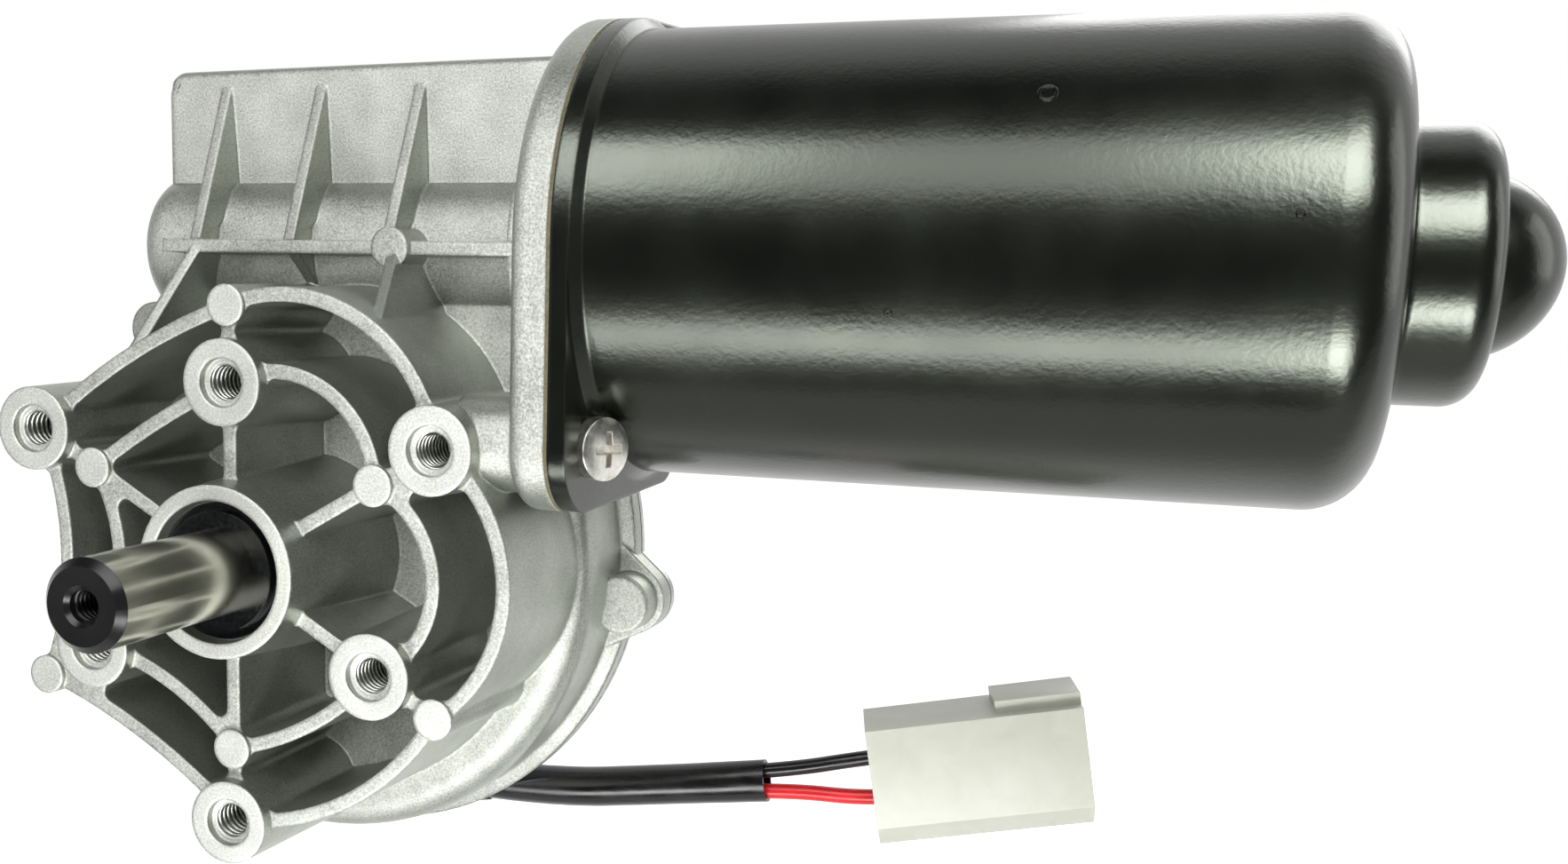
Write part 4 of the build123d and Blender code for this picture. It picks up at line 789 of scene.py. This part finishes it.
# Its doubles are merged, each corner keeps the normal of its curved face, and a moved flat face gets its own
flatCosine = 0.9999
source = nodes["gearbox_housing"].data
sourceNormals = [corner.vector.copy() for corner in source.corner_normals]
joined, corners, faces, normals, movedCorners = {}, [], [], [], set()
for triangle in source.polygons:
    face = []
    for index in triangle.vertices:
        place = source.vertices[index].co
        key = place.to_tuple()
        if key not in joined:
            joined[key] = len(corners)
            x, y, z = place / mm
            across, rise = castingMove(x, y, z)
            if across or rise:
                movedCorners.add(joined[key])
            corners.append(place + Vector((across, 0, rise)) * mm)
        face.append(joined[key])
    if len(set(face)) < 3:
        continue
    own = [sourceNormals[loop] for loop in triangle.loop_indices]
    flat = min(own[0].dot(own[1]), own[1].dot(own[2])) > flatCosine
    if flat and movedCorners.intersection(face):
        first, second, third = (corners[index] for index in face)
        across = (second - first).cross(third - first)
        own = [across.normalized()] * 3 if across.length > 0 else own
    faces.append(face)
    normals += own
castData = bpy.data.meshes.new("gearboxCasting")
castData.from_pydata(corners, [], faces)
castData.materials.append(made["castAluminium"])
castData.shade_smooth()
castData.normals_split_custom_set(normals)
gearboxCasting = addObject("gearboxCasting", castData)
bpy.data.collections["frontFillReach"].objects.link(gearboxCasting)
putInPlace(gearboxCasting, "housing", "cast_aluminium", "gearbox_housing")
print("casting shaped:", len(movedCorners), "corners moved of", len(corners))


def joinedMesh(name, node, within, flatAngle=0):
    # A CAD node's loose triangles joined into one skin, its flat faces whole where an angle is given
    skin = bmesh.new()
    skin.from_mesh(nodes[node].data)
    bmesh.ops.remove_doubles(skin, verts=skin.verts, dist=within * mm)
    if flatAngle:
        bmesh.ops.dissolve_limit(skin, angle_limit=math.radians(flatAngle), verts=skin.verts, edges=skin.edges)
    mesh = bpy.data.meshes.new(name)
    skin.to_mesh(mesh)
    skin.free()
    return mesh


# Brush springs, in mm: each coil joined into one smooth skin in place of its node; the joint, way and fixed end
# listed here are not used
springs = {
    "brushSpringTop": {"node": "brush_spring_top", "joint": "brush_top_slide",
                       "way": 1, "fixedEnd": 72.1},
    "brushSpringBottom": {"node": "brush_spring_bottom", "joint": "brush_bottom_slide",
                          "way": -1, "fixedEnd": 17.9},
}
for name, spring in springs.items():
    coilMesh = joinedMesh(name, spring["node"], within=0.0005)
    coilMesh.materials.append(made["blackenedSteel"])
    smoothBelow(coilMesh, degrees=45)
    coil = addObject(name, coilMesh)
    low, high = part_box(spring["node"])
    putInPlace(coil, "housing", "spring_steel", spring["node"])
    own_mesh(coil)

# Front caps of the three cover-screw lugs: a round pad with one side cut straight
tree, given = newTree("bossCap", ["CapRadius", "CapHeight", "FlatAt", "FlatDepth", "TurnX", "TurnY"])
disc = addNode(tree, "GeometryNodeMeshCylinder", {"Vertices": 48, "Radius": given["CapRadius"],
                                                  "Depth": given["CapHeight"]})
cutterWidth = 20 * mm
blockSize = addNode(tree, "ShaderNodeCombineXYZ", {0: given["FlatDepth"], 1: cutterWidth, 2: cutterWidth})
block = addNode(tree, "GeometryNodeMeshCube", {"Size": blockSize})
blockPlace = addNode(tree, "ShaderNodeCombineXYZ", {0: given["FlatAt"]})
movedBlock = addNode(tree, "GeometryNodeTransform", {"Geometry": block, "Translation": blockPlace})
cutDisc = addNode(tree, "GeometryNodeMeshBoolean", {"Mesh 1": disc, "Mesh 2": movedBlock},
                  operation="DIFFERENCE", solver="EXACT")
capTurn = addNode(tree, "ShaderNodeCombineXYZ", {0: given["TurnX"], 1: given["TurnY"]})
capCopies = addNode(tree, "GeometryNodeInstanceOnPoints", {"Points": given["Geometry"], "Instance": cutDisc,
                                                           "Rotation": capTurn})
closeTree(tree, capCopies, given)
bossCap = {"CapRadius": 4.3 * mm, "CapHeight": 1.0 * mm, "FlatAt": -5.6 * mm, "FlatDepth": 6.0 * mm,
           "TurnX": math.radians(90)}
for word, angle in coverLugs["angles"].items():
    capPlace = onCircle(coverLugs["radius"], angle, coverLugs["capMiddle"])
    cap = growPieces("lugCap" + word, tree, [capPlace], {**bossCap, "TurnY": math.radians(-angle)},
                     made["castAluminium"])
    putInPlace(cap, "housing", "cast_aluminium")

# Press marks of the drawing tool on the can: a small raised ring and two specks
tree, given = newTree("pressMark", ["RingRadius", "WireRadius", "TurnX"])
markRing = addNode(tree, "GeometryNodeCurvePrimitiveCircle", {"Resolution": 32, "Radius": given["RingRadius"]})
markWire = addNode(tree, "GeometryNodeCurvePrimitiveCircle", {"Resolution": 12, "Radius": given["WireRadius"]})
raisedRing = addNode(tree, "GeometryNodeCurveToMesh", {"Curve": markRing, "Profile Curve": markWire})
markTurn = addNode(tree, "ShaderNodeCombineXYZ", {0: given["TurnX"]})
placedRing = addNode(tree, "GeometryNodeInstanceOnPoints", {"Points": given["Geometry"], "Instance": raisedRing,
                                                            "Rotation": markTurn})
closeTree(tree, placedRing, given)
canRadius = 31.0  # mm
pressMarks = {  # places along the can and ring sizes in mm, angles in degrees from the top towards the front
    "canPressRing": {"along": 106.9, "angle": 54.1, "ring": 1.0, "wire": 0.28},
    "canSpeckLeft": {"along": 90.45, "angle": 103.8, "ring": 0.32, "wire": 0.22},
    "canSpeckRight": {"along": 134.79, "angle": 82.0, "ring": 0.32, "wire": 0.22},
}
for name, mark in pressMarks.items():
    turn = math.radians(mark["angle"])
    place = (mark["along"], motorAxis[0] - canRadius * math.sin(turn), motorAxis[1] + canRadius * math.cos(turn))
    ring = growPieces(name, tree, [place], {"RingRadius": mark["ring"] * mm, "WireRadius": mark["wire"] * mm,
                                            "TurnX": turn}, made["blackEnamel"])
    ring.data.shade_smooth()
    putInPlace(ring, "housing", "black_paint")
print("caps and marks placed")

# The moulded connector with its edges rounded, as a mould leaves them
connector = {"edge": 0.55, "segments": 3, "bevelFrom": 40, "smoothBelow": 25}  # mm and degrees
connectorMesh = joinedMesh("connectorShell", "connector_housing", within=0.001, flatAngle=1)
connectorShell = addObject("connectorShellRaw", connectorMesh)
soften = connectorShell.modifiers.new("soften", "BEVEL")
soften.width = connector["edge"] * mm
soften.segments = connector["segments"]
soften.limit_method = "ANGLE"
soften.angle_limit = math.radians(connector["bevelFrom"])
connectorShell = toPlainMesh(connectorShell, "connectorShell")
connectorShell.data.materials.append(made["naturalNylon"])
smoothBelow(connectorShell.data, connector["smoothBelow"])

putInPlace(motorScrews, "housing", "zinc_screws", "motor_screws")
putInPlace(coverScrews, "housing", "zinc_screws", "cover_screws")
putInPlace(connectorShell, "housing", "natural_nylon", "connector_housing")
putInPlace(sleeve, "housing", "black_pvc", "lead_sleeve")
putInPlace(blackWire, "housing", "black_pvc", "black_wire")
putInPlace(redWire, "housing", "red_pvc", "red_wire")

# The lead's free length is what the photograph shows, end to end
print("pieces placed")
